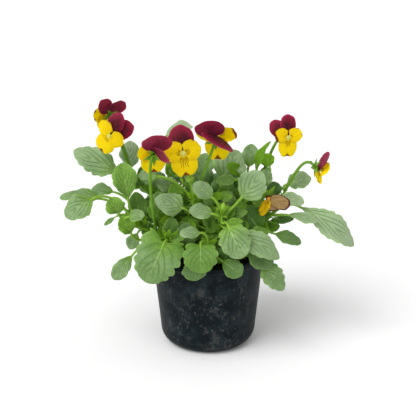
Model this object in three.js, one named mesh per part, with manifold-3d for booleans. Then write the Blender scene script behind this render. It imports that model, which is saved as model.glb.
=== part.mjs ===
// A potted pansy: a black nursery pot with a rolled rim and drain slots, filled with potting mix,
// and one bushy plant of leafy shoots with two-coloured, five-petalled blooms on hooked stalks.
// Millimetres, +Z up, the origin in the middle of the pot's foot. The front of the plant faces -Y.
// Every leafy shoot carries its own leaves, flower stalks and green calyxes as one solid. The red
// petals and the yellow petals of each bloom are one solid each, seated in front of the calyx.
import * as THREE from "three";
import { mergeVertices } from "three/addons/utils/BufferGeometryUtils.js";
import Module from "manifold-3d";

const wasm = await Module();
wasm.setup();

// Driving sizes of the pot, a 4.5 inch round nursery pot.
const POT_HEIGHT = 96;
const RIM_RADIUS = 57.2;
const RIM_BAND = 5;
const WALL = 1.6;
const WALL_RADIUS_LOW = 46.7; // where the slanting wall would meet the floor
const WALL_RADIUS_HIGH = 55.5; // just under the rim band
const FOOT_CORNER = 14; // radius of the round corner between wall and foot
const PAD_RADIUS = 11; // flat pad in the middle of the foot
const GROOVE_RADIUS = 24; // outer edge of the shallow groove round the pad
const GROOVE_DEPTH = 1.8;
const DRAIN_SLOTS = 6;
const DRAIN_TURN = 73; // degrees from +X to the first slot
const DRAIN_WIDTH = 11;
const DRAIN_HEIGHT = 2.4;
const DRAIN_LENGTH = 18;
const DRAIN_OVER = 4; // how far a slot's cutter reaches past the foot
const POT_SIDES = 30;
const SLOPE = 1.5; // breadth of the groove's slanting sides and height of the step under the rim
const RIM_EASE = 0.8; // the rim's eased edges
const OUTER_STEPS = 4; // facets round the foot corner, outside and inside
const INNER_STEPS = 2;
const POT_FLOOR = WALL + GROOVE_DEPTH; // the inside of the floor, so that the groove leaves a full wall

// The potting mix, clear of the pot by a hair.
const CLEARANCE = 0.35;
const SOIL_HEIGHT = 84;
const SOIL_CROWN = 2; // how much higher it stands in the middle
const ROOT_DEPTH = 12; // how deep the holes for the shoots are

// Sections of the green parts.
const STEM_RADIUS = 1.8;
const STALK_RADIUS = 1.05;
const PETIOLE_RADIUS = 1.05; // of a leaf's stalk, in the middle
const PETIOLE_EDGE = 0.63; // and at its sides
const PETIOLE_HALF_WIDTH = 0.9;
const BLADE_THICKNESS = 0.7;
const PETAL_THICKNESS = 0.7;

const materials = {
  pot: new THREE.MeshStandardMaterial({ color: 0x1c2124, roughness: 0.55, metalness: 0 }),
  soil: new THREE.MeshStandardMaterial({ color: 0x2b2119, roughness: 0.95, metalness: 0 }),
  leaf: new THREE.MeshStandardMaterial({ color: 0x7ba066, roughness: 0.6, metalness: 0 }),
  red: new THREE.MeshStandardMaterial({ color: 0x7a1f3a, roughness: 0.7, metalness: 0 }),
  yellow: new THREE.MeshStandardMaterial({ color: 0xf6cf12, roughness: 0.6, metalness: 0 }),
};

const vector = ([x, y, z]) => new THREE.Vector3(x, y, z);
const radians = THREE.MathUtils.degToRad;
const fraction = (x) => x - Math.floor(x);

// A closed surface as a solid that can be joined and cut. Corners closer than the weld are one.
const WELD = 1e-4;

function solidOf(geometry) {
  const bare = geometry.clone();
  bare.deleteAttribute("normal");
  bare.deleteAttribute("uv");
  const welded = mergeVertices(bare, WELD);
  return new wasm.Manifold(
    new wasm.Mesh({
      numProp: 3,
      vertProperties: new Float32Array(welded.attributes.position.array),
      triVerts: new Uint32Array(welded.index.array),
    }),
  );
}

// A joined solid as a named mesh.
function meshOf(name, solid, material) {
  const { vertProperties, triVerts } = solid.getMesh();
  const geometry = new THREE.BufferGeometry();
  geometry.setAttribute("position", new THREE.BufferAttribute(vertProperties, 3));
  geometry.setIndex(new THREE.BufferAttribute(triVerts, 1));
  geometry.computeVertexNormals();
  const mesh = new THREE.Mesh(geometry, material);
  mesh.name = name;
  return mesh;
}

// Solids as one, without the slivers and needless corners that joining leaves behind.
const SLIVER = 0.1;
const joined = (solids) => wasm.Manifold.union(solids).simplify(SLIVER);

// A round tube with a few flat sides along a curve.
function tube(curve, radius, sides, steps) {
  const section = new THREE.Shape(
    Array.from({ length: sides }, (_, k) => {
      const turn = (2 * Math.PI * k) / sides;
      return new THREE.Vector2(radius * Math.cos(turn), radius * Math.sin(turn));
    }),
  );
  return solidOf(
    new THREE.ExtrudeGeometry(section, { steps, extrudePath: curve, bevelEnabled: false }),
  );
}

// A closed skin through rings of points, each ring clockwise as seen from the one before it.
function loft(rings) {
  const size = rings[0].length;
  const at = (i, k) => i * size + (k % size);
  const last = rings.length - 1;
  const index = [];
  for (let i = 0; i < last; i++) {
    for (let k = 0; k < size; k++) {
      index.push(at(i, k), at(i, k + 1), at(i + 1, k + 1));
      index.push(at(i, k), at(i + 1, k + 1), at(i + 1, k));
    }
  }
  for (let k = 1; k + 1 < size; k++) {
    index.push(at(0, 0), at(0, k + 1), at(0, k));
    index.push(at(last, 0), at(last, k), at(last, k + 1));
  }
  const geometry = new THREE.BufferGeometry();
  geometry.setFromPoints(rings.flat());
  geometry.setIndex(index);
  return solidOf(geometry);
}

// The pot's wall radius at a height, on the outside.
const wallRadius = (z) =>
  WALL_RADIUS_LOW + ((WALL_RADIUS_HIGH - WALL_RADIUS_LOW) * z) / (POT_HEIGHT - RIM_BAND);

// Points of a pot profile, set in from the outside: round the foot corner in steps and up to a height.
function cupProfile(inset, top, steps) {
  const corner = FOOT_CORNER - inset;
  const side = wallRadius(FOOT_CORNER) - inset;
  const points = [];
  for (let k = 0; k <= steps; k++) {
    const turn = (-Math.PI / 2) * (1 - k / steps);
    points.push([
      side - corner + corner * Math.cos(turn),
      inset + corner + corner * Math.sin(turn),
    ]);
  }
  points.push([wallRadius(top) - inset, top]);
  return points;
}

// A profile of radius and height, closed on the axis, turned about +Z.
function lathe(profile, sides) {
  const points = profile.map(([radius, z]) => new THREE.Vector2(radius, z));
  return solidOf(new THREE.LatheGeometry(points, sides).rotateX(Math.PI / 2));
}

// The pot: foot with a centre pad and a groove, round corner, slanting wall, rolled rim, drain slots.
function potSolid() {
  const under = POT_HEIGHT - RIM_BAND;
  const outside = [
    [0, 0],
    [PAD_RADIUS, 0],
    [PAD_RADIUS + SLOPE, GROOVE_DEPTH],
    [GROOVE_RADIUS - SLOPE, GROOVE_DEPTH],
    [GROOVE_RADIUS, 0],
    ...cupProfile(0, under - SLOPE, OUTER_STEPS),
    [RIM_RADIUS - RIM_EASE, under],
    [RIM_RADIUS, under + RIM_EASE],
    [RIM_RADIUS, POT_HEIGHT - RIM_EASE],
    [RIM_RADIUS - RIM_EASE, POT_HEIGHT],
  ];
  const inside = cupProfile(WALL, under, INNER_STEPS).map(([r, z]) => [r, Math.max(z, POT_FLOOR)]);
  const profile = [
    ...outside,
    [wallRadius(POT_HEIGHT) - WALL, POT_HEIGHT],
    ...inside.reverse(),
    [0, POT_FLOOR],
  ];
  let pot = lathe(profile, POT_SIDES);
  for (let k = 0; k < DRAIN_SLOTS; k++) {
    const turn = radians(DRAIN_TURN + (360 / DRAIN_SLOTS) * k);
    const reach = wallRadius(0);
    const slot = new THREE.BoxGeometry(DRAIN_LENGTH, DRAIN_WIDTH, 2 * DRAIN_HEIGHT)
      .translate(reach + DRAIN_OVER - DRAIN_LENGTH / 2, 0, 0)
      .rotateZ(turn);
    pot = pot.subtract(solidOf(slot));
  }
  return pot;
}

// The potting mix, low mound on top, with a plain hole for each shoot.
function soilSolid(holes) {
  const floor = POT_FLOOR + CLEARANCE;
  const side = cupProfile(WALL + CLEARANCE, SOIL_HEIGHT, INNER_STEPS);
  const profile = [
    [0, floor],
    ...side.map(([r, z]) => [r, Math.max(z, floor)]),
    [0, SOIL_HEIGHT + SOIL_CROWN],
  ];
  return lathe(profile, POT_SIDES).subtract(joined(holes));
}

// Facings that many leaves share: up and towards the front by more or less.
const FRONT = [0, -1, 0.5];
const HALF_FRONT = [0, -0.8, 0.8];
const UP_FRONT = [0, -0.5, 1];

// The curve that a blade's midrib follows, and the directions across and out of its face.
// The midrib is a quadratic curve that bulges towards the face by arch times its length.
function midribOf({ neck, tip, face = FRONT, arch = 0.16 }) {
  const start = vector(neck);
  const end = vector(tip);
  const along = end.clone().sub(start);
  const length = along.length();
  along.normalize();
  const out = vector(face);
  out.addScaledVector(along, -out.dot(along)).normalize();
  const across = along.clone().cross(out);
  const bend = start.clone().lerp(end, 0.5).addScaledVector(out, arch * length);
  return { curve: new THREE.QuadraticBezierCurve3(start, bend, end), across, length };
}

// Where along a blade its rows lie: a bare neck, then notch and crest of each rounded tooth, then the tip.
const FIRST_NOTCH = 0.14;
const LAST_NOTCH = 0.93;

function bladeRows(teeth) {
  const rows = [{ s: 0, notch: 0 }];
  for (let k = 0; k <= 2 * teeth; k++) {
    const s = FIRST_NOTCH + ((LAST_NOTCH - FIRST_NOTCH) * k) / (2 * teeth);
    rows.push({ s, notch: k % 2 === 0 ? 1 : 0 });
  }
  rows.push({ s: 1, notch: 0 });
  return rows;
}

// One leaf with its stalk, in rings of points across its top and back across its underside. Half the
// blade's width is sin(pi s^belly)^0.5, so that its widest place moves towards the tip for a large
// belly. Its margin is scalloped, its halves fold up along the midrib, and its lower corners are drawn
// back past the neck by heart. The stalk leaves the shoot at a point and arrives along the midrib.
const NECK_HALF_WIDTH = 0.8;
const NOTCH_DEPTH = 0.13;
const SMALL = 24; // a blade narrower than this is flat across
const LONG = 44; // a blade longer than this has three teeth, a shorter one two
const STALK_STEPS = 2;
const STALK_SWING = 0.45; // how long a stalk runs in line with its blade before it turns to the stem

function leafSolid(leaf, from) {
  const { width, belly = 1.2, fold = 0.25, heart = 0 } = leaf;
  const { curve, across, length } = midribOf(leaf);
  const teeth = leaf.teeth ?? (length > LONG ? 3 : 2);
  const columns = width < SMALL ? [-1, 1] : [-1, 0, 1];

  const blade = bladeRows(teeth).map(({ s, notch }) => {
    const middle = curve.getPoint(s);
    const tangent = curve.getTangent(s);
    const normal = across.clone().cross(tangent);
    const swell = Math.sqrt(Math.max(0, Math.sin(Math.PI * s ** belly)));
    const half = Math.max(NECK_HALF_WIDTH, (width / 2) * swell * (1 - NOTCH_DEPTH * notch));
    const ring = (side) => (t) =>
      middle
        .clone()
        .addScaledVector(across, t * half)
        .addScaledVector(normal, fold * Math.abs(t) * half + (side * BLADE_THICKNESS) / 2)
        .addScaledVector(tangent, -heart * Math.abs(t) * half * (1 - s) ** 3);
    return [...columns.map(ring(1)), ...columns.map(ring(-1)).reverse()];
  });

  const neck = vector(leaf.neck);
  const swing = STALK_SWING * from.distanceTo(neck);
  const handle = neck.clone().addScaledVector(curve.getTangent(0), -swing);
  const path = new THREE.QuadraticBezierCurve3(from, handle, neck);
  const sideways = across.clone();
  const stalk = [];
  for (let k = STALK_STEPS - 1; k >= 0; k--) {
    const middle = path.getPoint(k / STALK_STEPS);
    const tangent = path.getTangent(k / STALK_STEPS);
    sideways.addScaledVector(tangent, -sideways.dot(tangent)).normalize();
    const normal = sideways.clone().cross(tangent);
    const ring = (side) => (t) =>
      middle
        .clone()
        .addScaledVector(sideways, PETIOLE_HALF_WIDTH * t)
        .addScaledVector(normal, side * (t === 0 ? PETIOLE_RADIUS : PETIOLE_EDGE));
    stalk.unshift([...columns.map(ring(1)), ...columns.map(ring(-1)).reverse()]);
  }
  return loft([...stalk, ...blade]);
}

// The directions of a bloom: forward out of its face, and up along its red petals.
function bloomFrame({ faces, roll = 0 }) {
  const forward = vector(faces).normalize();
  const up = new THREE.Vector3(0, 0, 1);
  up.addScaledVector(forward, -up.dot(forward)).normalize();
  up.applyAxisAngle(forward, radians(roll));
  return { forward, up };
}

// A petal, seen from its root: at an angle phi off its middle its edge lies length * cos(phi)^0.6 away,
// squeezed sideways to its width, with a dent in the middle by notch. It starts at a hinge by the
// throat and leans back from there by reflex degrees.
const PETAL_SPREAD = 80;
const PETAL_ROOT = 2.2;
const PETAL_POINTS = 9;
const ROUNDNESS = 0.6;
const WIDEST = 1.18; // the outline's breadth for a length of 1, before it is squeezed
const HINGE = 2;
const PETAL_FLARE = 0.3; // how far the outline's first points lie beyond the hinge at least

function petalSolid(bloom, petal) {
  const { forward, up } = bloomFrame(bloom);
  const { length, width, turn, layer, reflex, notch = 0 } = petal;
  const size = bloom.scale ?? 1;
  const flat = up.clone().applyAxisAngle(forward, radians(turn));
  const sideways = up.clone().applyAxisAngle(forward, radians(turn - 90));
  const leaning = flat.clone().applyAxisAngle(sideways, -radians(reflex));
  const out = sideways.clone().cross(leaning);
  const hinge = vector(bloom.at).addScaledVector(forward, layer).addScaledVector(flat, HINGE);
  const rim = Array.from({ length: PETAL_POINTS }, (_, k) => {
    const phi = radians(PETAL_SPREAD * (1 - (2 * k) / (PETAL_POINTS - 1)));
    const middle = 2 * k === PETAL_POINTS - 1;
    const reach = size * length * Math.cos(phi) ** ROUNDNESS * (middle ? 1 - notch : 1);
    const across = (reach * Math.sin(phi) * width) / (length * WIDEST);
    return new THREE.Vector2(across, Math.max(PETAL_FLARE, reach * Math.cos(phi) - HINGE));
  });
  const outline = [new THREE.Vector2(-PETAL_ROOT / 2, 0), new THREE.Vector2(PETAL_ROOT / 2, 0), ...rim];
  const geometry = new THREE.ExtrudeGeometry(new THREE.Shape(outline), {
    depth: PETAL_THICKNESS,
    bevelEnabled: false,
  });
  const place = new THREE.Matrix4().makeBasis(sideways, leaning, out).setPosition(hinge);
  return solidOf(geometry.translate(0, 0, -PETAL_THICKNESS / 2).applyMatrix4(place));
}

// A drum lying along the bloom's axis between two depths, with a radius at each.
function drum(bloom, back, front, backRadius, frontRadius, sides) {
  const { forward } = bloomFrame(bloom);
  const turn = new THREE.Quaternion().setFromUnitVectors(new THREE.Vector3(0, 1, 0), forward);
  const middle = vector(bloom.at).addScaledVector(forward, (back + front) / 2);
  const geometry = new THREE.CylinderGeometry(frontRadius, backRadius, front - back, sides)
    .applyQuaternion(turn)
    .translate(...middle.toArray());
  return solidOf(geometry);
}

// Depths along a bloom's axis, from the front: yellow petals, red petals, calyx. Petals that overlap
// lie in layers: the lip behind the side petals, one red petal behind the other.
const YELLOW_FRONT = 1.9;
const YELLOW_BACK = -0.4;
const RED_FRONT = -0.75;
const RED_BACK = -2.6;
const CALYX_FRONT = -2.95;
const CALYX_BACK = -6.2;
const THROAT_RADIUS = 2.6; // of the drum that holds the red or the yellow petals together
const MOUTH_RADIUS = 1.9; // of the yellow drum's front
const THROAT_SIDES = 7;

// The five petals as they usually sit: turn is degrees anticlockwise from up, seen from the front.
const UPPER = [
  { length: 27, width: 24, turn: 26, reflex: 24, layer: -2.2 },
  { length: 27, width: 24, turn: -26, reflex: 12, layer: -1.15 },
];
const LOWER = [
  { length: 17.5, width: 20, turn: 72, reflex: 4, layer: 1.1 },
  { length: 17.5, width: 20, turn: -72, reflex: 4, layer: 1.1 },
  { length: 23, width: 25, turn: 180, reflex: 7, notch: 0.14, layer: 0 },
];
const adapted = (usual, own = []) => usual.map((petal, k) => ({ ...petal, ...own[k] }));

function redPetals(bloom) {
  return joined([
    ...adapted(UPPER, bloom.upper).map((petal) => petalSolid(bloom, petal)),
    drum(bloom, RED_BACK, RED_FRONT, THROAT_RADIUS, THROAT_RADIUS, THROAT_SIDES),
  ]);
}

function yellowPetals(bloom) {
  return joined([
    ...adapted(LOWER, bloom.lower).map((petal) => petalSolid(bloom, petal)),
    drum(bloom, YELLOW_BACK, YELLOW_FRONT, THROAT_RADIUS, MOUTH_RADIUS, THROAT_SIDES),
  ]);
}

// The green back of a bloom: a cup and five pointed sepals, the ones behind a leaning petal pressed back.
const SEPALS = 5;
const SEPAL_LENGTH = 10;
const SEPAL_WIDTH = 3.2;
const SEPAL_THICKNESS = 1.2;
const SEPAL_ROOT = 0.5; // how far off the middle a sepal starts
const SEPAL_DEPTH = -4.35; // where the sepals meet on the bloom's axis
const SEPAL_LEAN = 26; // degrees that a sepal leans back at least
const SEPAL_CLEAR = 14; // degrees that it leans back beyond the petal before it
const CUP_BACK_RADIUS = 1.2;
const CUP_FRONT_RADIUS = 1.6;
const CUP_SIDES = 6;

function calyxSolids(bloom) {
  const { forward, up } = bloomFrame(bloom);
  const heart = vector(bloom.at).addScaledVector(forward, SEPAL_DEPTH);
  const half = (SEPAL_LENGTH / 2) * (bloom.scale ?? 1);
  const petals = adapted(UPPER, bloom.upper);
  const sepals = Array.from({ length: SEPALS }, (_, k) => {
    const turn = (360 / SEPALS) * (k + 0.5);
    const slopes = petals.map(
      (petal) => Math.tan(radians(petal.reflex)) * Math.cos(radians(petal.turn - turn)),
    );
    const clear = Math.atan(Math.max(...slopes)) + radians(SEPAL_CLEAR);
    const reflex = Math.max(radians(SEPAL_LEAN), clear);
    const direction = up.clone().applyAxisAngle(forward, radians(turn));
    direction.multiplyScalar(Math.cos(reflex)).addScaledVector(forward, -Math.sin(reflex));
    const side = direction.clone().cross(forward).normalize();
    const place = new THREE.Matrix4()
      .makeBasis(side, direction, side.clone().cross(direction))
      .setPosition(heart.clone().addScaledVector(direction, half + SEPAL_ROOT));
    const sepal = new THREE.OctahedronGeometry(1).scale(SEPAL_WIDTH / 2, half, SEPAL_THICKNESS / 2);
    return solidOf(sepal.applyMatrix4(place));
  });
  const cup = drum(bloom, CALYX_BACK, CALYX_FRONT, CUP_BACK_RADIUS, CUP_FRONT_RADIUS, CUP_SIDES);
  return [cup, ...sepals];
}

// A bloom's stalk: it leaves the shoot, bends by the bloom's sway, and hooks over into the cup from
// behind and above. Without a sway or hook of its own it rises evenly and hooks over by a fixed amount.
const STALK_SIDES = 4;
const BLOOM_STALK_STEPS = 8;
const HOOK_BACK = 12;
const HOOK_RISE = 7;
const SWAY_SHARE = 0.4; // how far along the straight line the plain sway point lies

function stalkSolid(bloom, from) {
  const { forward } = bloomFrame(bloom);
  const end = vector(bloom.at).addScaledVector(forward, CALYX_BACK + 1);
  const behind = end.clone().addScaledVector(forward, -HOOK_BACK);
  const hook = bloom.hook ? vector(bloom.hook) : behind.add(new THREE.Vector3(0, 0, HOOK_RISE));
  const sway = bloom.sway ? vector(bloom.sway) : from.clone().lerp(end, SWAY_SHARE);
  const path = new THREE.CubicBezierCurve3(from, sway, hook, end);
  return tube(path, STALK_RADIUS, STALK_SIDES, BLOOM_STALK_STEPS);
}

// A closed bud, longer than wide, on a short stalk that arches up a little.
const BUD_STALK_STEPS = 4;
const BUD_STALK_ARCH = 4;

function budSolids(bud, from) {
  const tip = vector(bud.at);
  const direction = vector(bud.points).normalize();
  const turn = new THREE.Quaternion().setFromUnitVectors(new THREE.Vector3(0, 1, 0), direction);
  const geometry = new THREE.IcosahedronGeometry(1, 0)
    .scale(bud.width / 2, bud.length / 2, bud.width / 2)
    .applyQuaternion(turn)
    .translate(...tip.toArray());
  const bend = from.clone().lerp(tip, 0.5).add(new THREE.Vector3(0, 0, BUD_STALK_ARCH));
  const path = new THREE.QuadraticBezierCurve3(from, bend, tip);
  return [solidOf(geometry), tube(path, STALK_RADIUS, STALK_SIDES, BUD_STALK_STEPS)];
}

// Leaves of a shoot that follow a rule: the k-th stands higher than the last, turned by the golden
// fraction within the fan, drooping low down and rising near the top.
const GOLDEN = 0.618;
const LOWEST_PITCH = -42; // degrees, of the lowest leaf of a fan
const HIGHEST_PITCH = 40;
const FAN_TAPER = 0.4; // how much nearer to the middle the highest leaf starts
const SIZE_TAPER = 0.2; // how much smaller it is
const FAN_BREADTH = 0.66; // width of a leaf for a length of 1
const uneven = (x) => 0.9 + 0.2 * fraction(x); // from 0.9 to 1.1, so that no two leaves are alike

function fanLeaves({ count, heading, fan, low, high, reach, size }) {
  return Array.from({ length: count }, (_, k) => {
    const rise = k / (count - 1);
    const turn = radians(heading + fan * (fraction(GOLDEN * k + 0.3) - 0.5));
    const pitch = radians(LOWEST_PITCH + (HIGHEST_PITCH - LOWEST_PITCH) * rise);
    const distance = reach * (1 - FAN_TAPER * rise * rise) * uneven(0.37 * k);
    const length = size * (1 - SIZE_TAPER * rise) * uneven(0.755 * k);
    const outward = new THREE.Vector3(Math.cos(turn), Math.sin(turn), 0);
    const neck = outward.clone().multiplyScalar(distance).setZ(low + (high - low) * rise);
    const tip = neck.clone().addScaledVector(outward, length * Math.cos(pitch));
    tip.z += length * Math.sin(pitch);
    return {
      from: 0.3 + 0.7 * rise,
      neck: neck.toArray(),
      tip: tip.toArray(),
      width: FAN_BREADTH * length,
      face: outward.setZ(2).toArray(),
    };
  });
}

// The shoots. root is where the shoot leaves the soil, lean and top shape its stem. Each leaf gives
// where its stalk leaves the stem (from, 0 at the soil and 1 at the top), its neck, tip and width.
const shoots = [
  {
    name: "shoot_left",
    root: [-13, -5],
    lean: [-38, -12, 114],
    top: [-68, -17, 126],
    leaves: [
      { from: 1, neck: [-110, -16, 155], tip: [-137, -28, 139], width: 27, face: HALF_FRONT, arch: 0.2 },
      { from: 0.93, neck: [-101, -6, 150], tip: [-145, -10, 153], width: 19, face: UP_FRONT, arch: 0.2 },
      { from: 0.75, neck: [-69, -12, 118], tip: [-78, -16, 102], width: 14 },
      { from: 0.88, neck: [-86, -27, 142], tip: [-92, -31, 161], width: 20, fold: 0.5 },
      { from: 0.8, neck: [-77, -38, 143], tip: [-60, -44, 147], width: 14, face: HALF_FRONT },
      { from: 0.97, neck: [-92, 2, 155], tip: [-115, 4, 158], width: 14, face: HALF_FRONT },
      { from: 0.9, neck: [-77, -20, 153], tip: [-82, -17, 191], width: 25, belly: 1.6, fold: 0.35 },
      { from: 0.66, neck: [-74, -31, 123], tip: [-83, -35, 143], width: 17, fold: 0.5 },
      { from: 0.6, neck: [-47, -23, 139], tip: [-47, -23, 164], width: 19 },
      { from: 0.55, neck: [-66, -8, 125], tip: [-71, -6, 158], width: 20 },
      { from: 0.45, neck: [-59, 2, 119], tip: [-57, 2, 151], width: 22 },
      { from: 0.95, neck: [-90, -20, 137], tip: [-101, -22, 129], width: 5 },
    ],
    blooms: ["bloom_3"],
  },
  {
    name: "shoot_left_high",
    root: [-10, 5],
    lean: [-35, 12, 126],
    top: [-70, 14, 162],
    leaves: [
      { from: 0.95, neck: [-88, 12, 172], tip: [-133, 18, 193], width: 28, belly: 0.95, teeth: 4 },
      { from: 0.92, neck: [-77, 20, 173], tip: [-78, 26, 201], width: 22 },
      { from: 0.75, neck: [-48, 0, 170], tip: [-68, -4, 174], width: 18, face: HALF_FRONT },
    ],
    blooms: ["bloom_1", "bloom_2"],
  },
  {
    name: "shoot_front_left",
    root: [-8, -12],
    lean: [-20, -32, 108],
    top: [-38, -42, 120],
    leaves: [
      {
        from: 1,
        neck: [-42, -56, 122],
        tip: [-58, -70, 89],
        width: 46,
        belly: 0.75,
        arch: 0.1,
        fold: 0.12,
        heart: 1.2,
        teeth: 5,
      },
      { from: 0.85, neck: [-72, -33, 104], tip: [-92, -39, 79], width: 17, belly: 1.5 },
      { from: 0.9, neck: [-36, -42, 120], tip: [-22, -44, 124], width: 12, face: UP_FRONT },
      { from: 0.6, neck: [-37, -30, 115], tip: [-34, -32, 141], width: 17 },
      { from: 0.4, neck: [-22, -30, 108], tip: [-20, -33, 136], width: 22 },
    ],
  },
  {
    name: "shoot_centre_left",
    root: [-5, -3],
    lean: [-14, -14, 126],
    top: [-30, -16, 146],
    leaves: [
      { from: 0.8, neck: [-23, -30, 149], tip: [-51, -31, 159], width: 24, belly: 0.7 },
      { from: 0.95, neck: [-30, -12, 157], tip: [-50, -12, 172], width: 13 },
      { from: 0.5, neck: [-18, -6, 125], tip: [-22, -5, 153], width: 18 },
    ],
  },
  {
    name: "shoot_centre",
    root: [0, -8],
    lean: [-3, -14, 126],
    top: [-13, -27, 156],
    leaves: [
      { from: 0.95, neck: [-47, -16, 177], tip: [-66, -18, 176], width: 13, face: UP_FRONT },
      { from: 0.35, neck: [-6, -12, 118], tip: [-1, -10, 145], width: 20 },
    ],
    blooms: ["bloom_4", "bloom_5"],
    buds: [{ from: 1, at: [-17, -33, 180], points: [-0.2, -0.3, 1], width: 8, length: 10 }],
  },
  {
    name: "shoot_front",
    root: [2, -16],
    lean: [1, -36, 100],
    top: [0, -46, 114],
    leaves: [
      { from: 1, neck: [-7, -60, 123], tip: [-7, -71, 99], width: 34, belly: 0.85, heart: 0.2, teeth: 4 },
      { from: 0.9, neck: [-15, -58, 109], tip: [-11, -63, 88], width: 25, arch: 0.08 },
      { from: 0.85, neck: [12, -55, 106], tip: [32, -64, 94], width: 19, belly: 1.5 },
      { from: 0.98, neck: [-6, -46, 130], tip: [-27, -52, 131], width: 13, face: HALF_FRONT },
      { from: 0.6, neck: [13, -36, 96], tip: [26, -44, 115], width: 20 },
      { from: 0.6, neck: [-11, -38, 100], tip: [-22, -45, 110], width: 20 },
    ],
  },
  {
    name: "shoot_centre_right",
    root: [7, -9],
    lean: [10, -28, 121],
    top: [13, -41, 146],
    leaves: [
      { from: 1, neck: [5, -38, 162], tip: [-14, -42, 178], width: 17 },
      { from: 0.97, neck: [5, -46, 149], tip: [-18, -50, 154], width: 17, face: HALF_FRONT, belly: 1 },
      { from: 0.9, neck: [19, -48, 138], tip: [32, -66, 112], width: 31, belly: 0.95, heart: 0.2, teeth: 4 },
      { from: 0.95, neck: [31, -28, 158], tip: [52, -32, 186], width: 30, belly: 1, arch: 0.08, teeth: 3 },
      { from: 0.85, neck: [19, -45, 133], tip: [68, -51, 106], width: 24, face: HALF_FRONT, arch: 0.22 },
      { from: 1, neck: [15, -44, 139], tip: [33, -46, 142], width: 8 },
      { from: 0.5, neck: [24, -21, 120], tip: [26, -20, 148], width: 20 },
    ],
    buds: [{ from: 1, at: [14, -44, 154], points: [0.1, -0.1, 1], width: 5, length: 12 }],
  },
  {
    name: "shoot_front_right",
    root: [11, -12],
    lean: [24, -28, 100],
    top: [36, -37, 107],
    leaves: [
      { from: 1, neck: [37, -36, 113], tip: [62, -45, 94], width: 25, face: HALF_FRONT, arch: 0.08 },
      { from: 0.9, neck: [51, -42, 100], tip: [73, -49, 72], width: 22, belly: 1, arch: 0.08, teeth: 4 },
    ],
  },
  {
    name: "shoot_right",
    root: [14, -2],
    lean: [60, -14, 116],
    top: [76, 3, 156],
    leaves: [
      { from: 0.72, neck: [64, -12, 117], tip: [92, -14, 107], width: 15, face: HALF_FRONT },
      {
        from: 0.76,
        neck: [89, -2, 142],
        tip: [145, -7, 102],
        width: 27,
        face: HALF_FRONT,
        arch: 0.24,
        teeth: 5,
      },
      { from: 0.78, neck: [77, -14, 137], tip: [106, -22, 132], width: 14, face: UP_FRONT },
      { from: 0.7, neck: [60, 6, 123], tip: [86, 6, 126], width: 9 },
      { from: 0.95, neck: [69, -8, 154], tip: [94, -10, 148], width: 15, face: HALF_FRONT },
      { from: 0.92, neck: [67, 10, 146], tip: [64, 12, 163], width: 17 },
      { from: 1, neck: [78, 14, 159], tip: [103, 18, 165], width: 21, face: HALF_FRONT, belly: 0.9 },
      { from: 0.58, neck: [52, -16, 120], tip: [34, -14, 144], width: 28 },
    ],
    blooms: ["bloom_7", "bloom_8"],
  },
  {
    name: "shoot_right_high",
    root: [8, 6],
    lean: [22, 8, 136],
    top: [50, 2, 164],
    leaves: [
      { from: 0.85, neck: [13, 12, 164], tip: [31, 20, 192], width: 36, belly: 0.9, teeth: 3 },
      { from: 0.8, neck: [28, -4, 170], tip: [8, -10, 169], width: 13, face: HALF_FRONT },
      { from: 1, neck: [48, 0, 172], tip: [61, 2, 207], width: 11, face: [-0.8, -0.6, 0.5], arch: 0.25 },
      { from: 1, neck: [60, -6, 183], tip: [55, -6, 197], width: 15 },
      { from: 0.9, neck: [40, 20, 174], tip: [44, 25, 198], width: 18 },
      { from: 1, neck: [53, -6, 162], tip: [58, -4, 181], width: 15 },
      { from: 0.6, neck: [27, -10, 146], tip: [12, -14, 158], width: 16 },
    ],
    blooms: ["bloom_6"],
  },
  {
    name: "shoot_back_left",
    root: [-9, 12],
    lean: [-22, 30, 111],
    top: [-38, 42, 146],
    leaves: [
      { from: 0.3, neck: [-24, 22, 108], tip: [-30, 24, 144], width: 32 },
      { from: 0.9, neck: [-52, 27, 140], tip: [-60, 30, 172], width: 30 },
    ],
    fan: { count: 5, heading: 132, fan: 44, low: 102, high: 162, reach: 54, size: 43 },
  },
  {
    name: "shoot_back",
    root: [1, 15],
    lean: [2, 36, 114],
    top: [-6, 46, 156],
    leaves: [
      { from: 1, neck: [-43, 32, 203], tip: [-15, 34, 213], width: 17, face: [0, -1, 2], arch: 0.45 },
      { from: 0.7, neck: [-8, 26, 142], tip: [-10, 28, 180], width: 31 },
      { from: 0.5, neck: [14, 24, 132], tip: [20, 24, 168], width: 30 },
    ],
    fan: { count: 5, heading: 86, fan: 26, low: 100, high: 160, reach: 56, size: 42 },
  },
  {
    name: "shoot_back_right",
    root: [11, 10],
    lean: [26, 28, 111],
    top: [40, 40, 142],
    leaves: [{ from: 0.25, neck: [22, 14, 108], tip: [28, 16, 146], width: 34 }],
    fan: { count: 5, heading: 48, fan: 44, low: 102, high: 154, reach: 56, size: 43 },
  },
];

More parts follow.
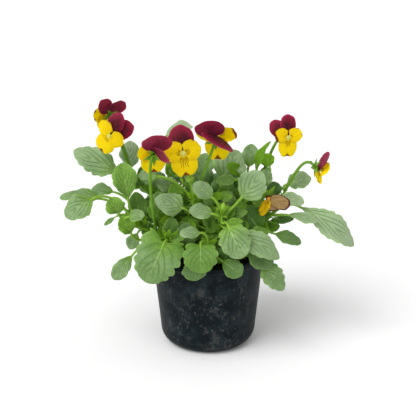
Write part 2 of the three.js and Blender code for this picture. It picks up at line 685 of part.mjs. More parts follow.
// The blooms: at is the throat, faces is where the bloom looks, roll turns it anticlockwise as seen
// from its front. upper and lower change single petals: how they are turned, leaned back and sized.
// The stalk leaves the shoot at from, and bends by sway and hook.
const blooms = {
  bloom_1: {
    at: [-98, 22, 230],
    faces: [-0.5, 0.85, 0.15],
    roll: 4,
    scale: 0.78,
    upper: [{ turn: 36, width: 20, reflex: 26 }, { turn: -34, width: 20, reflex: 14 }],
    lower: [{}, { turn: -98, length: 21, width: 22 }, { turn: 200 }],
    sway: [-84, 16, 186],
  },
  bloom_2: {
    at: [-94.5, -8, 215],
    faces: [-0.35, -0.95, 0.05],
    roll: -42,
    scale: 0.9,
    upper: [{ turn: -20, width: 21 }, { turn: 20, width: 19 }],
    lower: [{ width: 16, length: 18.5 }, { width: 18 }, { turn: 189, length: 23, width: 23 }],
    sway: [-82, 6, 181],
    hook: [-82, 10, 208],
  },
  bloom_3: {
    at: [-51, -50, 211],
    faces: [-0.25, 0.9, 0.25],
    scale: 0.95,
    upper: [{ turn: 62, reflex: 63, length: 25, width: 20 }, { turn: 10, reflex: 22, width: 30 }],
    lower: [{}, { turn: -100, length: 15 }, { turn: 176 }],
    from: 0.8,
    sway: [-53, -58, 160],
    hook: [-56, -66, 209],
  },
  bloom_4: {
    at: [-23, -42, 207],
    faces: [0.05, -1, 0.15],
    roll: 7,
    upper: [{ turn: 40, length: 24, width: 21, reflex: 34 }, { turn: 0 }],
  },
  bloom_5: {
    at: [8, -20, 218],
    faces: [0.15, 0.85, 0.45],
    scale: 0.95,
    upper: [{ turn: 34, reflex: 66, width: 36 }, { turn: -22, reflex: 10, width: 31 }],
    lower: [{ length: 22 }, { length: 21 }, { length: 30 }],
    sway: [-8, -38, 176],
    hook: [5, -32, 211],
  },
  bloom_6: {
    at: [77, -6, 213],
    faces: [0.1, -1, 0.02],
    scale: 0.82,
    upper: [{ turn: 50, width: 20 }, { turn: -2, width: 19 }],
    lower: [{ length: 16.5, width: 18 }, { width: 18 }, { length: 26, width: 22 }],
    sway: [58, 0, 186],
    hook: [66, 6, 216],
  },
  bloom_7: {
    at: [109.5, 2, 178],
    faces: [0.8, 0.2, -0.56],
    scale: 0.8,
    upper: [
      { turn: 12, length: 25, width: 19, reflex: 4 },
      { turn: -14, length: 25, width: 19, reflex: -4 },
    ],
    lower: [
      { turn: 52, reflex: -15, length: 15 },
      { turn: -52, reflex: -15, length: 15 },
      { reflex: -40, length: 18 },
    ],
    sway: [88, 4, 180],
  },
  bloom_8: {
    at: [58, -26, 158],
    faces: [0, -1, -0.2],
    upper: [
      { turn: -152, length: 19, width: 15, reflex: 8 },
      { turn: -118, length: 24, width: 16, reflex: 3 },
    ],
    lower: [
      { turn: 156, length: 19, width: 7, reflex: 8 },
      { turn: 174, length: 15, width: 6 },
      { turn: 165, length: 23, width: 8 },
    ],
    from: 0.85,
  },
};

// The line of a shoot's stem: straight up from just above the soil, then leaning over to its top.
const FOOT = SOIL_HEIGHT + SOIL_CROWN;
const UPRIGHT = 16; // how far up the stem's first control point stands
const STEM_SIDES = 5;
const STEM_STEPS = 5;

function stemCurve({ root: [x, y], lean, top }) {
  return new THREE.CubicBezierCurve3(
    new THREE.Vector3(x, y, FOOT),
    new THREE.Vector3(x, y, FOOT + UPRIGHT),
    vector(lean),
    vector(top),
  );
}

// An upright peg at a shoot's foot, reaching a depth down into the soil and as far up.
function peg({ root: [x, y] }, radius, depth) {
  const geometry = new THREE.CylinderGeometry(radius, radius, 2 * depth, STEM_SIDES);
  return solidOf(geometry.rotateX(Math.PI / 2).translate(x, y, FOOT));
}

function shootSolid(shoot) {
  const stem = stemCurve(shoot);
  const root = peg(shoot, STEM_RADIUS, ROOT_DEPTH - CLEARANCE);
  const solids = [tube(stem, STEM_RADIUS, STEM_SIDES, STEM_STEPS), root];
  const leaves = [...(shoot.leaves ?? []), ...(shoot.fan ? fanLeaves(shoot.fan) : [])];
  for (const leaf of leaves) {
    solids.push(leafSolid(leaf, stem.getPoint(leaf.from)));
  }
  for (const name of shoot.blooms ?? []) {
    const bloom = blooms[name];
    solids.push(...calyxSolids(bloom), stalkSolid(bloom, stem.getPoint(bloom.from ?? 1)));
  }
  for (const bud of shoot.buds ?? []) {
    solids.push(...budSolids(bud, stem.getPoint(bud.from)));
  }
  return joined(solids);
}

const plant = new THREE.Group();
const holes = shoots.map((shoot) => peg(shoot, STEM_RADIUS + CLEARANCE, ROOT_DEPTH));
plant.add(meshOf("pot", potSolid(), materials.pot));
plant.add(meshOf("soil", soilSolid(holes), materials.soil));
for (const shoot of shoots) {
  plant.add(meshOf(shoot.name, shootSolid(shoot), materials.leaf));
}
for (const [name, bloom] of Object.entries(blooms)) {
  plant.add(meshOf(`${name}_red_petals`, redPetals(bloom), materials.red));
  plant.add(meshOf(`${name}_yellow_petals`, yellowPetals(bloom), materials.yellow));
}

export default plant;
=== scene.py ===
# %% [markdown]
# # A pansy in its nursery pot
# The plant is a bush of thirteen leafy shoots with eight two-coloured blooms and two buds, in a black
# plastic pot full of potting mix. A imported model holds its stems, main leaves and petals as plain solids.
# This lesson dresses that model: each solid is replaced by a finer surface that keeps its place and
# form. Lengths are written in millimetres, as on a drawing, and turned to metres by MM.

import bpy
import numpy as np
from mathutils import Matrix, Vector


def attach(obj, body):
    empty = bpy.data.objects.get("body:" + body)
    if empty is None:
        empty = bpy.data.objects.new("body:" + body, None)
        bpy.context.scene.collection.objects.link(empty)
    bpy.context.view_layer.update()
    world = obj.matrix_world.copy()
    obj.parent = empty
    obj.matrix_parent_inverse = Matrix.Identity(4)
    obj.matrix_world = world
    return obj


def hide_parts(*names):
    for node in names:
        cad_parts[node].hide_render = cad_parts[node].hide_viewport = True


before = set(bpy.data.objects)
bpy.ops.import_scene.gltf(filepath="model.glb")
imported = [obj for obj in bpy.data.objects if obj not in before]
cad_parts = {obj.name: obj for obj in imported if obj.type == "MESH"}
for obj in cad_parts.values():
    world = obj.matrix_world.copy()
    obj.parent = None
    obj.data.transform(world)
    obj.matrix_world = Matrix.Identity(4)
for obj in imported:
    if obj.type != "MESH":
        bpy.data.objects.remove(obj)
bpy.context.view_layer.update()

MM = 0.001  # metres in a millimetre
print("nodes to dress:", len(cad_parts))

# %% [markdown]
# ## The camera, the floor and the light
# The photo looks down on the pot by 19 degrees from about a metre away, with a long lens. The numbers
# come from the ellipse that the pot's round rim makes in the picture. The floor is plain and pale, and
# one broad lamp on the left gives the soft shadow on the right, while a white sky fills the rest.

# %% Place the camera
EYE = (0, -945.5, 464.8)
AIM = (0, 0, 139.2)
LENS = 87.36
SENSOR = 36


def aimed(data, place, aim):
    """An object at a place in millimetres, with its -Z axis pointing at the aim."""
    thing = bpy.data.objects.new(data.name, data)
    bpy.context.scene.collection.objects.link(thing)
    thing.location = Vector(place) * MM
    thing.rotation_euler = (Vector(aim) - Vector(place)).to_track_quat("-Z", "Y").to_euler()
    return thing


lens = bpy.data.cameras.new("camera")
lens.lens = LENS
lens.sensor_width = SENSOR
bpy.context.scene.camera = aimed(lens, EYE, AIM)

# %% Light the studio
KEY_PLACE = (-1000, -900, 1700)
KEY_BREADTH = 44  # degrees that the lamp fills, as seen from the plant
KEY_STRENGTH = 2.2
SKY_STRENGTH = 0.66

key = bpy.data.lights.new("key", "SUN")
key.angle = np.radians(KEY_BREADTH)
key.energy = KEY_STRENGTH
aimed(key, KEY_PLACE, AIM)
sky = bpy.data.worlds.new("sky")
sky.use_nodes = True
sky.node_tree.nodes["Background"].inputs["Color"].default_value = (1, 1, 1, 1)
sky.node_tree.nodes["Background"].inputs["Strength"].default_value = SKY_STRENGTH
bpy.context.scene.world = sky
bpy.context.scene.view_settings.view_transform = "Standard"

# %% Lay the floor
FLOOR_HALF = 6000

floor_mesh = bpy.data.meshes.new("floor")
corners = np.array([(-1, -1, 0), (1, -1, 0), (1, 1, 0), (-1, 1, 0)]) * FLOOR_HALF * MM
floor_mesh.from_pydata(corners.tolist(), [], [(0, 1, 2, 3)])
floor = bpy.data.objects.new("floor", floor_mesh)
bpy.context.scene.collection.objects.link(floor)

# %% [markdown]
# ## From arrays to meshes
# Every surface here is a stack of rings: a stem is a stack of small circles, and a thin leaf is a stack
# of flat rings that run along its top and come back along its underside. If each ring has an even
# number of points, strips of four-sided faces close both ends too, so no hole and no pole is left.
# The whole stack is one numpy array, which foreach_set hands to Blender in one go. Curves with a bevel
# or a flat plane with Solidify could do parts of this, but each would need its own way to carry the
# numbers that the materials read, and here one way serves every piece.


# %% Stack rings into a closed surface
def loft(rings):
    """Points and faces of a closed surface through rings (rows x even size x 3). A face joins two
    neighbours of a ring to the same two of the next. Its normal is the way round crossed with the way
    up, so rings that run counterclockwise as seen from the last one face outwards."""
    rows, size = rings.shape[:2]
    row, place = np.meshgrid(np.arange(rows - 1), np.arange(size), indexing="ij")
    here = row * size + place
    beside = row * size + (place + 1) % size
    sides = np.stack([here, beside, beside + size, here + size], axis=-1).reshape(-1, 4)
    k = np.arange(size // 2 - 1)
    first = np.stack([k, size - 1 - k, size - 2 - k, k + 1], axis=-1)
    last = first[:, ::-1] + (rows - 1) * size
    return rings.reshape(-1, 3), np.concatenate([sides, first, last])


def part(rings, u, v, tint):
    """One closed surface with what its material reads: a pattern place (u, v) and four tint numbers
    for each point. u, v and tint may be single values, rows or whole grids."""
    points, faces = loft(rings)
    shape = rings.shape[:2]
    uv = np.stack([np.broadcast_to(u, shape), np.broadcast_to(v, shape)], axis=-1)
    tint = np.broadcast_to(np.asarray(tint, float), (*shape, 4))
    return points, faces, uv.reshape(-1, 2), tint.reshape(-1, 4)


def sheet(front, back, u, v, tint_front, tint_back):
    """A thin closed sheet between two grids of points, with a row u across it and a column v along it."""
    rows, columns = front.shape[:2]
    rings = np.concatenate([front, back[:, ::-1]], axis=1)
    u = np.concatenate([u, u[:, ::-1]], axis=1)
    shape = (rows, columns, 4)
    tint = np.concatenate(
        [np.broadcast_to(tint_front, shape), np.broadcast_to(tint_back, shape)[:, ::-1]], axis=1
    )
    return part(rings, u, v, tint)


# %% Make a Blender object of many parts
def piece(name, parts, material, slot, *nodes):
    """One object at the origin made of closed parts, dressed and put in the place of its nodes."""
    starts = np.cumsum([0] + [len(p[0]) for p in parts[:-1]])
    points = np.concatenate([p[0] for p in parts]) * MM
    faces = np.concatenate([p[1] + start for p, start in zip(parts, starts)])
    uv = np.concatenate([p[2] for p in parts])
    tint = np.concatenate([p[3] for p in parts])
    mesh = bpy.data.meshes.new(name)
    mesh.vertices.add(len(points))
    mesh.vertices.foreach_set("co", points.ravel())
    mesh.loops.add(faces.size)
    mesh.loops.foreach_set("vertex_index", faces.ravel().astype(np.int32))
    mesh.polygons.add(len(faces))
    mesh.polygons.foreach_set("loop_start", np.arange(0, faces.size, 4, dtype=np.int32))
    mesh.polygons.foreach_set("use_smooth", np.ones(len(faces), bool))
    mesh.update(calc_edges=True)
    mesh.uv_layers.new(name="pattern").data.foreach_set("uv", uv[faces.ravel()].ravel())
    mesh.attributes.new("tint", "FLOAT_COLOR", "POINT").data.foreach_set("color", tint.ravel())
    mesh.materials.append(material)
    thing = bpy.data.objects.new(name, mesh)
    bpy.context.scene.collection.objects.link(thing)
    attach(thing, "root")
    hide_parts(*nodes)
    print(f"{name}: {2 * len(faces)} triangles")


# %% Vectors and curves as arrays
def unit(v):
    """The vector divided by its length, along the last axis."""
    v = np.asarray(v, float)
    return v / np.linalg.norm(v, axis=-1, keepdims=True)


def flattened(v, axis):
    """v without its share along the unit axis, at length one."""
    v = np.asarray(v, float)
    return unit(v - (v * axis).sum(-1, keepdims=True) * axis)


def turned(v, axis, degrees):
    """v turned about a unit axis: v cos a + (axis x v) sin a + axis (axis . v)(1 - cos a)."""
    a = np.radians(degrees)
    return v * np.cos(a) + np.cross(axis, v) * np.sin(a) + axis * (axis @ v) * (1 - np.cos(a))


def bend(p, t):
    """A Bezier curve through its control points p at t. Each step draws the points towards the next
    by t, until one is left: two controls give a line, three a bow and four an S."""
    points = [np.asarray(q, float)[None, :] for q in p]
    t = np.asarray(t, float)[:, None]
    while len(points) > 1:
        points = [a * (1 - t) + b * t for a, b in zip(points, points[1:])]
    return points[0]


def tangents(path):
    """Unit directions along a path of points, each from the point before to the point after."""
    return unit(np.gradient(path, axis=0))


def smooth(low, high, x):
    """0 below low, 1 above high, and an S-curve 3h^2 - 2h^3 between."""
    h = np.clip((x - low) / (high - low), 0, 1)
    return h * h * (3 - 2 * h)


# %% Circles
def angles(count):
    """So many angles, evenly round a full turn."""
    return np.linspace(0, 2 * np.pi, count, endpoint=False)


def around(turn, first, second):
    """Directions at each turn: first cos(turn) + second sin(turn)."""
    return np.cos(turn)[:, None] * first + np.sin(turn)[:, None] * second


def upright(radius, height, turn):
    """Rings about the z axis at each turn. The radius and height are columns or whole grids."""
    return np.stack(np.broadcast_arrays(radius * np.cos(turn), radius * np.sin(turn), height), axis=-1)


# %% Sweep a circle along a path
SIDEWAYS = np.array([0.31, 0.9, 0.3])  # no stem runs this way
RIDGES = 5


def tube(path, radius, sides, tint, ribs=0.0):
    """A tube: at each point of the path a ring of that radius, square to the path. The rings' zero
    direction leans on a fixed one, so that the tube doesn't twist. ribs is the height of RIDGES long
    ridges, as a share of the radius."""
    path = np.asarray(path, float)
    along = tangents(path)
    first = flattened(SIDEWAYS[None, :] + 0 * along, along)
    second = np.cross(along, first)
    turn = angles(sides)
    radius = np.broadcast_to(radius, len(path))[:, None] * (1 + ribs * np.cos(RIDGES * turn))[None, :]
    rings = path[:, None, :] + radius[..., None] * around(turn, first[:, None, :], second[:, None, :])
    return part(rings, (turn / (2 * np.pi))[None, :], np.linspace(0, 1, len(path))[:, None], tint)


# %% [markdown]
# ## Materials
# A leaf isn't one green. It has a pale midrib, a thin light margin, a yellow-green base, and a waxy
# bloom that greys it. Painted shade darkens the furrows over its side veins and the dips beside them,
# and a number of each leaf paints shade on it, and light where that number is below 0. The material
# reads two things that each surface carries: where a point lies on the leaf (the UV map), and four
# tint numbers of the leaf it belongs to. From these it works out the veins with plain arithmetic, so
# they follow every bend. Where a pattern hangs on the place alone, its scale is in blotches a metre.
# A picture of a leaf could be laid on instead, but it would bring one leaf's light and shade with it,
# and look the same on each.


# %% A small kit for node materials
class Recipe:
    """A material and short calls that add nodes to it. Each call returns an output socket."""

    def __init__(self, name):
        """A new material with its one shader."""
        self.material = bpy.data.materials.new(name)
        self.material.use_nodes = True
        self.tree = self.material.node_tree
        self.shader = self.tree.nodes["Principled BSDF"]

    def plug(self, value, socket):
        """A socket is linked to the input, and a number or colour is set on it."""
        if isinstance(value, bpy.types.NodeSocket):
            self.tree.links.new(value, socket)
        else:
            socket.default_value = value

    def fed(self, node, *values):
        """The node's first output, with the values plugged into its inputs in turn."""
        for value, socket in zip(values, node.inputs):
            self.plug(value, socket)
        return node.outputs[0]

    def math(self, operation, *values):
        """One step of arithmetic, by Blender's name for it."""
        node = self.tree.nodes.new("ShaderNodeMath")
        node.operation = operation
        return self.fed(node, *values)

    def times(self, *values):
        """The product of the values."""
        product = values[0]
        for value in values[1:]:
            product = self.math("MULTIPLY", product, value)
        return product

    def ramp(self, value, low, high, to_low=0.0, to_high=1.0):
        """An S-curve from to_low to to_high as the value goes from low to high."""
        node = self.tree.nodes.new("ShaderNodeMapRange")
        node.interpolation_type = "SMOOTHSTEP"
        return self.fed(node, value, low, high, to_low, to_high)

    def mix(self, share, a, b):
        """Colour a where share is 0, b where it is 1. The node's colours are its inputs 6 and 7."""
        node = self.tree.nodes.new("ShaderNodeMix")
        node.data_type = "RGBA"
        self.plug(share, node.inputs["Factor"])
        self.plug(a, node.inputs[6])
        self.plug(b, node.inputs[7])
        return node.outputs[2]

    def coated(self, colour, *coats):
        """The colour under coats of paint. A coat is a share, from 0 to 1, and a colour."""
        for share, paint in coats:
            colour = self.mix(share, colour, paint)
        return colour

    def place(self):
        """The point's place on the object, in metres."""
        return self.tree.nodes.new("ShaderNodeTexCoord").outputs["Object"]

    def split(self, vector):
        """The three parts of a vector."""
        node = self.tree.nodes.new("ShaderNodeSeparateXYZ")
        self.plug(vector, node.inputs[0])
        return tuple(node.outputs)

    def joined(self, x, y, z=0.0):
        """The vector of three parts."""
        return self.fed(self.tree.nodes.new("ShaderNodeCombineXYZ"), x, y, z)

    def stretched(self, where, scale):
        """A place with each part multiplied by its own scale."""
        node = self.tree.nodes.new("ShaderNodeMapping")
        self.plug(where, node.inputs["Vector"])
        self.plug(scale, node.inputs["Scale"])
        return node.outputs[0]

    def pattern(self):
        """u and v of the piece's own map."""
        node = self.tree.nodes.new("ShaderNodeUVMap")
        node.uv_map = "pattern"
        return self.split(node.outputs["UV"])[:2]

    def tint(self):
        """The four tint numbers."""
        node = self.tree.nodes.new("ShaderNodeAttribute")
        node.attribute_name = "tint"
        split = self.tree.nodes.new("ShaderNodeSeparateColor")
        self.plug(node.outputs["Color"], split.inputs[0])
        return (*split.outputs[0:3], node.outputs["Alpha"])

    def noise(self, where, scale, detail=2.0, roughness=0.5):
        """A soft random pattern about 0.5, with scale blotches to a unit of where."""
        node = self.tree.nodes.new("ShaderNodeTexNoise")
        self.plug(where, node.inputs["Vector"])
        self.plug(scale, node.inputs["Scale"])
        self.plug(detail, node.inputs["Detail"])
        self.plug(roughness, node.inputs["Roughness"])
        return node.outputs["Fac"]

    def finish(self, colour, roughness, height=None, depth=0.0002, **sockets):
        """The material, with its shader set. The height is a relief from 0 to 1, and depth is how many
        metres a 1 stands up. Other inputs go by their names, with _ for a space."""
        self.plug(colour, self.shader.inputs["Base Color"])
        self.plug(roughness, self.shader.inputs["Roughness"])
        for name, value in sockets.items():
            self.plug(value, self.shader.inputs[name.replace("_", " ")])
        if height is not None:
            bump = self.tree.nodes.new("ShaderNodeBump")
            self.plug(height, bump.inputs["Height"])
            bump.inputs["Distance"].default_value = depth
            self.plug(bump.outputs[0], self.shader.inputs["Normal"])
        return self.material


def srgb(red, green, blue):
    """A colour read off a screen, 0 to 255, as the linear light that a shader takes."""
    c = np.array([red, green, blue]) / 255
    linear = np.where(c <= 0.04045, c / 12.92, ((c + 0.055) / 1.055) ** 2.4)
    return (*linear.tolist(), 1.0)


# %% Green of the leaves
VEINS = 4.2  # side veins on each half of a blade
VEIN_SLANT = 0.9  # how far towards the tip a vein has run when it meets the margin
VEIN_BOW = 1.15  # 1 for straight veins, and more for ones that bow towards the tip
VEIN_FAN = 2.0  # veins on each half that fan out from the neck
NECK_GAP = 0.02  # keeps the fan's veins apart at the neck itself
VEIN_STRAY = 0.7  # how far noise moves a vein, in spaces between two of them


def leaf_green():
    """Tint: youth, painted shade (painted light below 0), a random number, and 1 on the underside.
    near is 0 on a side vein and 0.5 midway to the next, by the formula of vein_phase below."""
    r = Recipe("leaf_green")
    u, v = r.pattern()
    youth, deep, chance, under = r.tint()
    where = r.place()
    cloud = r.noise(where, 60.0, 3.0)
    grain = r.noise(where, 380.0, 3.0, 0.65)
    cells = r.noise(where, 900.0, 2.0)
    off = r.math("ABSOLUTE", r.math("MULTIPLY_ADD", u, 2.0, -1.0))
    slant = r.times(r.math("POWER", off, VEIN_BOW), VEIN_SLANT)
    lead = r.math("SUBTRACT", v, slant)
    spread = r.math("ADD", r.math("ADD", v, slant), NECK_GAP)
    fan = r.math("DIVIDE", r.math("MINIMUM", lead, 0.0), spread)
    phase = r.math("MULTIPLY_ADD", fan, VEIN_FAN, r.times(r.math("MAXIMUM", lead, 0.0), VEINS))
    near = r.math("PINGPONG", r.math("MULTIPLY_ADD", cloud, VEIN_STRAY, phase), 0.5)
    inner = r.times(r.ramp(off, 0.92, 0.55), r.ramp(v, 0.9, 0.66))
    broken = r.times(inner, r.ramp(grain, 0.36, 0.56, 0.35, 1.0))
    vein = r.times(r.ramp(near, 0.07, 0.0), inner)
    # painted shade in the sunken side veins, as thin lines, and in the dips beside them, broadly
    painted_furrow_shade = r.times(r.ramp(near, 0.16, 0.02), broken)
    painted_valley_shade = r.times(r.ramp(near, 0.36, 0.04, 0.0, 0.3), inner)
    mottle = r.times(r.ramp(grain, 0.56, 0.36), r.ramp(deep, -0.6, 0.1, 0.16, 0.4))
    midrib = r.times(r.ramp(off, 0.05, 0.012), r.ramp(v, 0.95, 0.3))
    margin = r.math("MAXIMUM", r.ramp(off, 0.9, 0.97), r.ramp(v, 0.955, 0.99))
    young = r.math("MAXIMUM", youth, r.times(r.ramp(v, 0.55, 0.04), 0.85))
    colour = r.coated(
        r.mix(cloud, srgb(112, 142, 84), srgb(142, 166, 118)),
        (young, r.mix(cloud, srgb(92, 142, 0), srgb(134, 178, 14))),
        # painted shade from the leaf's shade number, and painted light where that number is below 0
        (deep, r.mix(cloud, srgb(32, 74, 2), srgb(60, 106, 14))),
        (r.ramp(deep, 0.0, -1.0), srgb(178, 196, 162)),
        (mottle, srgb(70, 112, 36)),
        # painted shade in the dips and furrows along the side veins
        (painted_valley_shade, srgb(76, 118, 46)),
        (r.times(painted_furrow_shade, 0.48), srgb(62, 104, 34)),
        (r.times(midrib, 0.55), srgb(166, 196, 122)),
        (r.times(margin, 0.4), srgb(150, 190, 92)),
        (r.times(under, 0.35), srgb(120, 150, 92)),
        (r.times(chance, 0.22), srgb(88, 122, 62)),
    )
    relief = r.math("SUBTRACT", r.times(cells, 0.35), r.times(vein, 0.8))
    wax = r.times(r.math("SUBTRACT", 1.0, youth), r.ramp(deep, 0.9, 0.0))
    return r.finish(
        colour, r.ramp(cells, 0.3, 0.7, 0.42, 0.6), relief, 0.0003,
        Subsurface_Weight=0.22, Subsurface_Radius=(0.6, 1.0, 0.25), Subsurface_Scale=0.0012,
        Sheen_Weight=r.times(wax, 0.1), Sheen_Roughness=0.4,
        Specular_IOR_Level=r.math("MULTIPLY_ADD", wax, 0.25, 0.06),
    )


# %% Green of stems, stalks and sepals
def stalk_green():
    """Tint: how pale, how much painted shade, a random number, and 1 where a purple flush shows.
    Streaks of two greens run along each stem."""
    r = Recipe("stalk_green")
    u, v = r.pattern()
    pale, deep, chance, flush = r.tint()
    streaks = r.noise(r.joined(r.times(u, 22.0), r.times(v, 3.0), chance), 2.0, 2.0)
    colour = r.coated(
        r.mix(streaks, srgb(78, 128, 2), srgb(108, 160, 12)),
        (pale, srgb(164, 202, 80)),
        # painted shade, by the tint's second number
        (deep, srgb(50, 98, 14)),
        (r.times(flush, 0.6), srgb(96, 48, 60)),
    )
    return r.finish(
        colour, 0.48, r.noise(r.place(), 1200.0), 0.0001,
        Subsurface_Weight=0.15, Subsurface_Radius=(0.6, 1.0, 0.25), Subsurface_Scale=0.001,
        Specular_IOR_Level=0.22,
    )


LEAF_GREEN = leaf_green()
STALK_GREEN = stalk_green()

# %% [markdown]
# ## Leaves
# A pansy's leaf is a stalk that runs on as the midrib of a blade. The blade could be one flat outline,
# but real ones arch along the midrib, fold up along it, wave at the margin and have rounded teeth. So
# the blade is worked out as a function of two numbers: s from the neck to the tip, and t from one
# margin to the other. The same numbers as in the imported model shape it, with more teeth and the waves
# added.

# %% Facings and the words that describe a leaf
FRONT = (0, -1, 0.5)
HALF_FRONT = (0, -0.8, 0.8)
UP_FRONT = (0, -0.5, 1)


def leaf(start, neck, tip, width, face=FRONT, arch=0.16, belly=1.2, fold=0.25, heart=0.0, teeth=0,
         young=0.0, deep=0.0):
    """A leaf. Its stalk leaves the stem at start (0 at the soil, 1 at the top), and its blade runs from
    neck to tip with its upper side towards face. arch is how far it bows up and fold how steeply its
    halves rise. It is widest beyond the middle if belly is above 1. heart sends its lobes back, and
    teeth asks for more and deeper ones. young is the green of youth, and the last number is painted
    shade, which is painted light below 0."""
    return dict(start=start, neck=np.array(neck, float), tip=np.array(tip, float), width=width,
                face=np.array(face, float), arch=arch, belly=belly, fold=fold, heart=heart,
                teeth=teeth, young=young, deep=deep)


# %% The blade
ROWS = 45
COLUMNS = 19
BLADE_THICKNESS = 0.42
NECK_HALF_WIDTH = 0.7
TOOTH_LENGTH = 8.5
FEWEST_TEETH = 3
TOOTH_DEPTH = 0.12  # of the half width, and a tenth of it more for each named tooth
OUTLINE = 0.62  # a smaller power makes the outline fuller
HEART_OUTLINE = 0.5
EASE = 0.32  # share of the blade over which it widens from the neck
HEART_EASE = 0.14
WAVE = 0.2
CURL = 0.16
CREASE = 0.02  # rounds the fold along the midrib
QUILT = 0.36
QUILTED_WIDTH = 36  # a narrower blade swells less
rng = np.random.default_rng(31)  # one source for everything that varies, drawn in a fixed order


def midrib(spec, s):
    """Points on the midrib and the directions along, across and out of the blade there. The midrib
    is a bow from neck to tip that bulges towards the face by arch times its length."""
    chord = spec["tip"] - spec["neck"]
    length = np.linalg.norm(chord)
    ahead = chord / length
    out = flattened(spec["face"], ahead)
    across = np.cross(ahead, out)
    middle = (spec["neck"] + spec["tip"]) / 2 + out * spec["arch"] * length
    points = bend([spec["neck"], middle, spec["tip"]], s)
    along = unit((middle - spec["neck"])[None, :] * (1 - s)[:, None] + (spec["tip"] - middle) * s[:, None])
    return points, along, across, np.cross(across, along), length


def vein_phase(s, off):
    """A number that is whole on every side vein: VEINS (s - slant) where that is positive, slant being
    VEIN_SLANT off^VEIN_BOW, and VEIN_FAN (s - slant) / (s + slant) in the corners beside the neck."""
    slant = VEIN_SLANT * off**VEIN_BOW
    fan = np.minimum(s - slant, 0) / (s + slant + NECK_GAP)
    return VEINS * np.maximum(s - slant, 0) + VEIN_FAN * fan


def teeth_of(s, count):
    """1 at the notches between rounded teeth that point forward: a tooth is sin(pi f^1.5)^0.5, where
    f is how far along it a point lies."""
    f = (np.clip(s, 0, 0.9999) * count) % 1.0
    return (1 - np.sin(np.pi * f**1.5) ** 0.5) * smooth(0.03, 0.15, s) * (1 - smooth(0.88, 0.99, s))


def blade(spec, chance, rows=ROWS, columns=COLUMNS):
    """Half width = width/2 sin(pi s^belly)^OUTLINE, narrowed near the neck. Teeth are cut in by t^4, so
    that only the margin is toothed. The halves rise by fold sqrt(t^2 + CREASE), the margins wave and
    curl, and the blade swells between its side veins. Rows lie closer near the neck and the tip, and
    columns near the margins."""
    s = (1 - np.cos(np.pi * np.linspace(0, 1, rows))) / 2
    t = np.sin(np.pi / 2 * np.linspace(-1, 1, columns))[None, :]
    points, along, across, normal, length = midrib(spec, s)
    outline, ease = (HEART_OUTLINE, HEART_EASE) if spec["heart"] else (OUTLINE, EASE)
    swell = np.clip(np.sin(np.pi * s ** spec["belly"]), 0, 1) ** outline
    widening = 1 - np.clip(1 - s / ease, 0, 1) ** 2
    half = np.maximum(NECK_HALF_WIDTH * (1 - 0.6 * s), spec["width"] / 2 * swell * widening)[:, None]
    count = max(spec["teeth"], int(round(length / TOOTH_LENGTH)), FEWEST_TEETH)
    side = np.sign(t)
    notch = np.where(t < 0, teeth_of(s, count)[:, None], teeth_of(s * 0.97, count)[:, None])
    x = t * half * (1 - TOOTH_DEPTH * (1 + 0.1 * spec["teeth"]) * notch * t**4)
    off = np.abs(t)
    waves = WAVE * np.sin(2 * np.pi * (1.5 * s[:, None] + chance + 0.27 * side)) * off**1.6
    curl = -CURL * off**4 + 0.1 * (chance - 0.5) * side * off * (1 - s[:, None])
    fold = spec["fold"] * (np.sqrt(off**2 + CREASE) - np.sqrt(CREASE))
    phase = vein_phase(s[:, None], off)
    quilt = -QUILT * np.cos(2 * np.pi * phase) * np.sin(np.pi * off) * min(1, spec["width"] / QUILTED_WIDTH)
    z = half * (fold + waves + curl) + quilt * smooth(0.0, 0.2, s)[:, None]
    back = -spec["heart"] * off * half * (1 - s[:, None]) ** 3
    middle = (
        points[:, None, :]
        + x[..., None] * across
        + z[..., None] * normal[:, None, :]
        + back[..., None] * along[:, None, :]
    )
    thick = BLADE_THICKNESS / 2 * (1 - 0.55 * off**3) * np.ones_like(z)
    step = thick[..., None] * normal[:, None, :]
    front = (spec["young"], spec["deep"], chance, 0)
    behind = (spec["young"], spec["deep"], chance, 1)
    return sheet(middle + step, middle - step, (t + 1) / 2, s[:, None], front, behind)


# %% The leaf's stalk, which goes on as the rib under its blade
PETIOLE_RADIUS = 1.25
PETIOLE_SWING = 0.45  # how far its curve's handle lies behind the neck, as a share of its length
RIB_END = 0.9
RIB_THREAD = 0.16  # radius of the rib at its end
RIBBED_WIDTH = 18  # a narrower blade has a thinner rib


def petiole(spec, root, chance, rings=14, sides=8):
    """A tube from the stem to the neck, arriving in line with the blade, and then along the midrib,
    sinking under the blade and thinning to a thread. It pales towards the neck."""
    s = np.linspace(0, RIB_END, rings)
    points, along, _, normal, _ = midrib(spec, s)
    reach = np.linalg.norm(spec["neck"] - root)
    handle = spec["neck"] - along[0] * PETIOLE_SWING * reach
    stalk = bend([root, handle, spec["neck"]], np.linspace(0, 1, rings)[:-1])
    share = (1 - s / RIB_END) ** 0.8 * min(1, spec["width"] / RIBBED_WIDTH)
    rib_radius = (PETIOLE_RADIUS - 0.1) * share + RIB_THREAD
    rib = points - normal * (rib_radius * 0.9 * smooth(0.0, 0.15, s))[:, None]
    thinning = np.linspace(PETIOLE_RADIUS + 0.25, PETIOLE_RADIUS - 0.05, rings - 1)
    radius = np.concatenate([thinning, rib_radius])
    # the stalk takes on its leaf's painted shade, and pales less where there is more of it
    pale = 0.25 + 0.5 * (1 - spec["deep"]) * np.linspace(0, 1, 2 * rings - 1)[:, None, None]
    tint = np.concatenate([pale, 0.8 * spec["deep"] + 0 * pale, chance + 0 * pale, 0 * pale], axis=-1)
    return tube(np.concatenate([stalk, rib]), radius, sides, tint)


# %% Stipules, the small lobed leaflets where a leaf leaves its stem
LANCET_THICKNESS = 0.34
LANCET_TIP = 0.12  # half width of a lancet's two ends
STIPULE_LOBES = ((-34, 0.62), (4, 1.0), (38, 0.7))  # turn in degrees and size of each


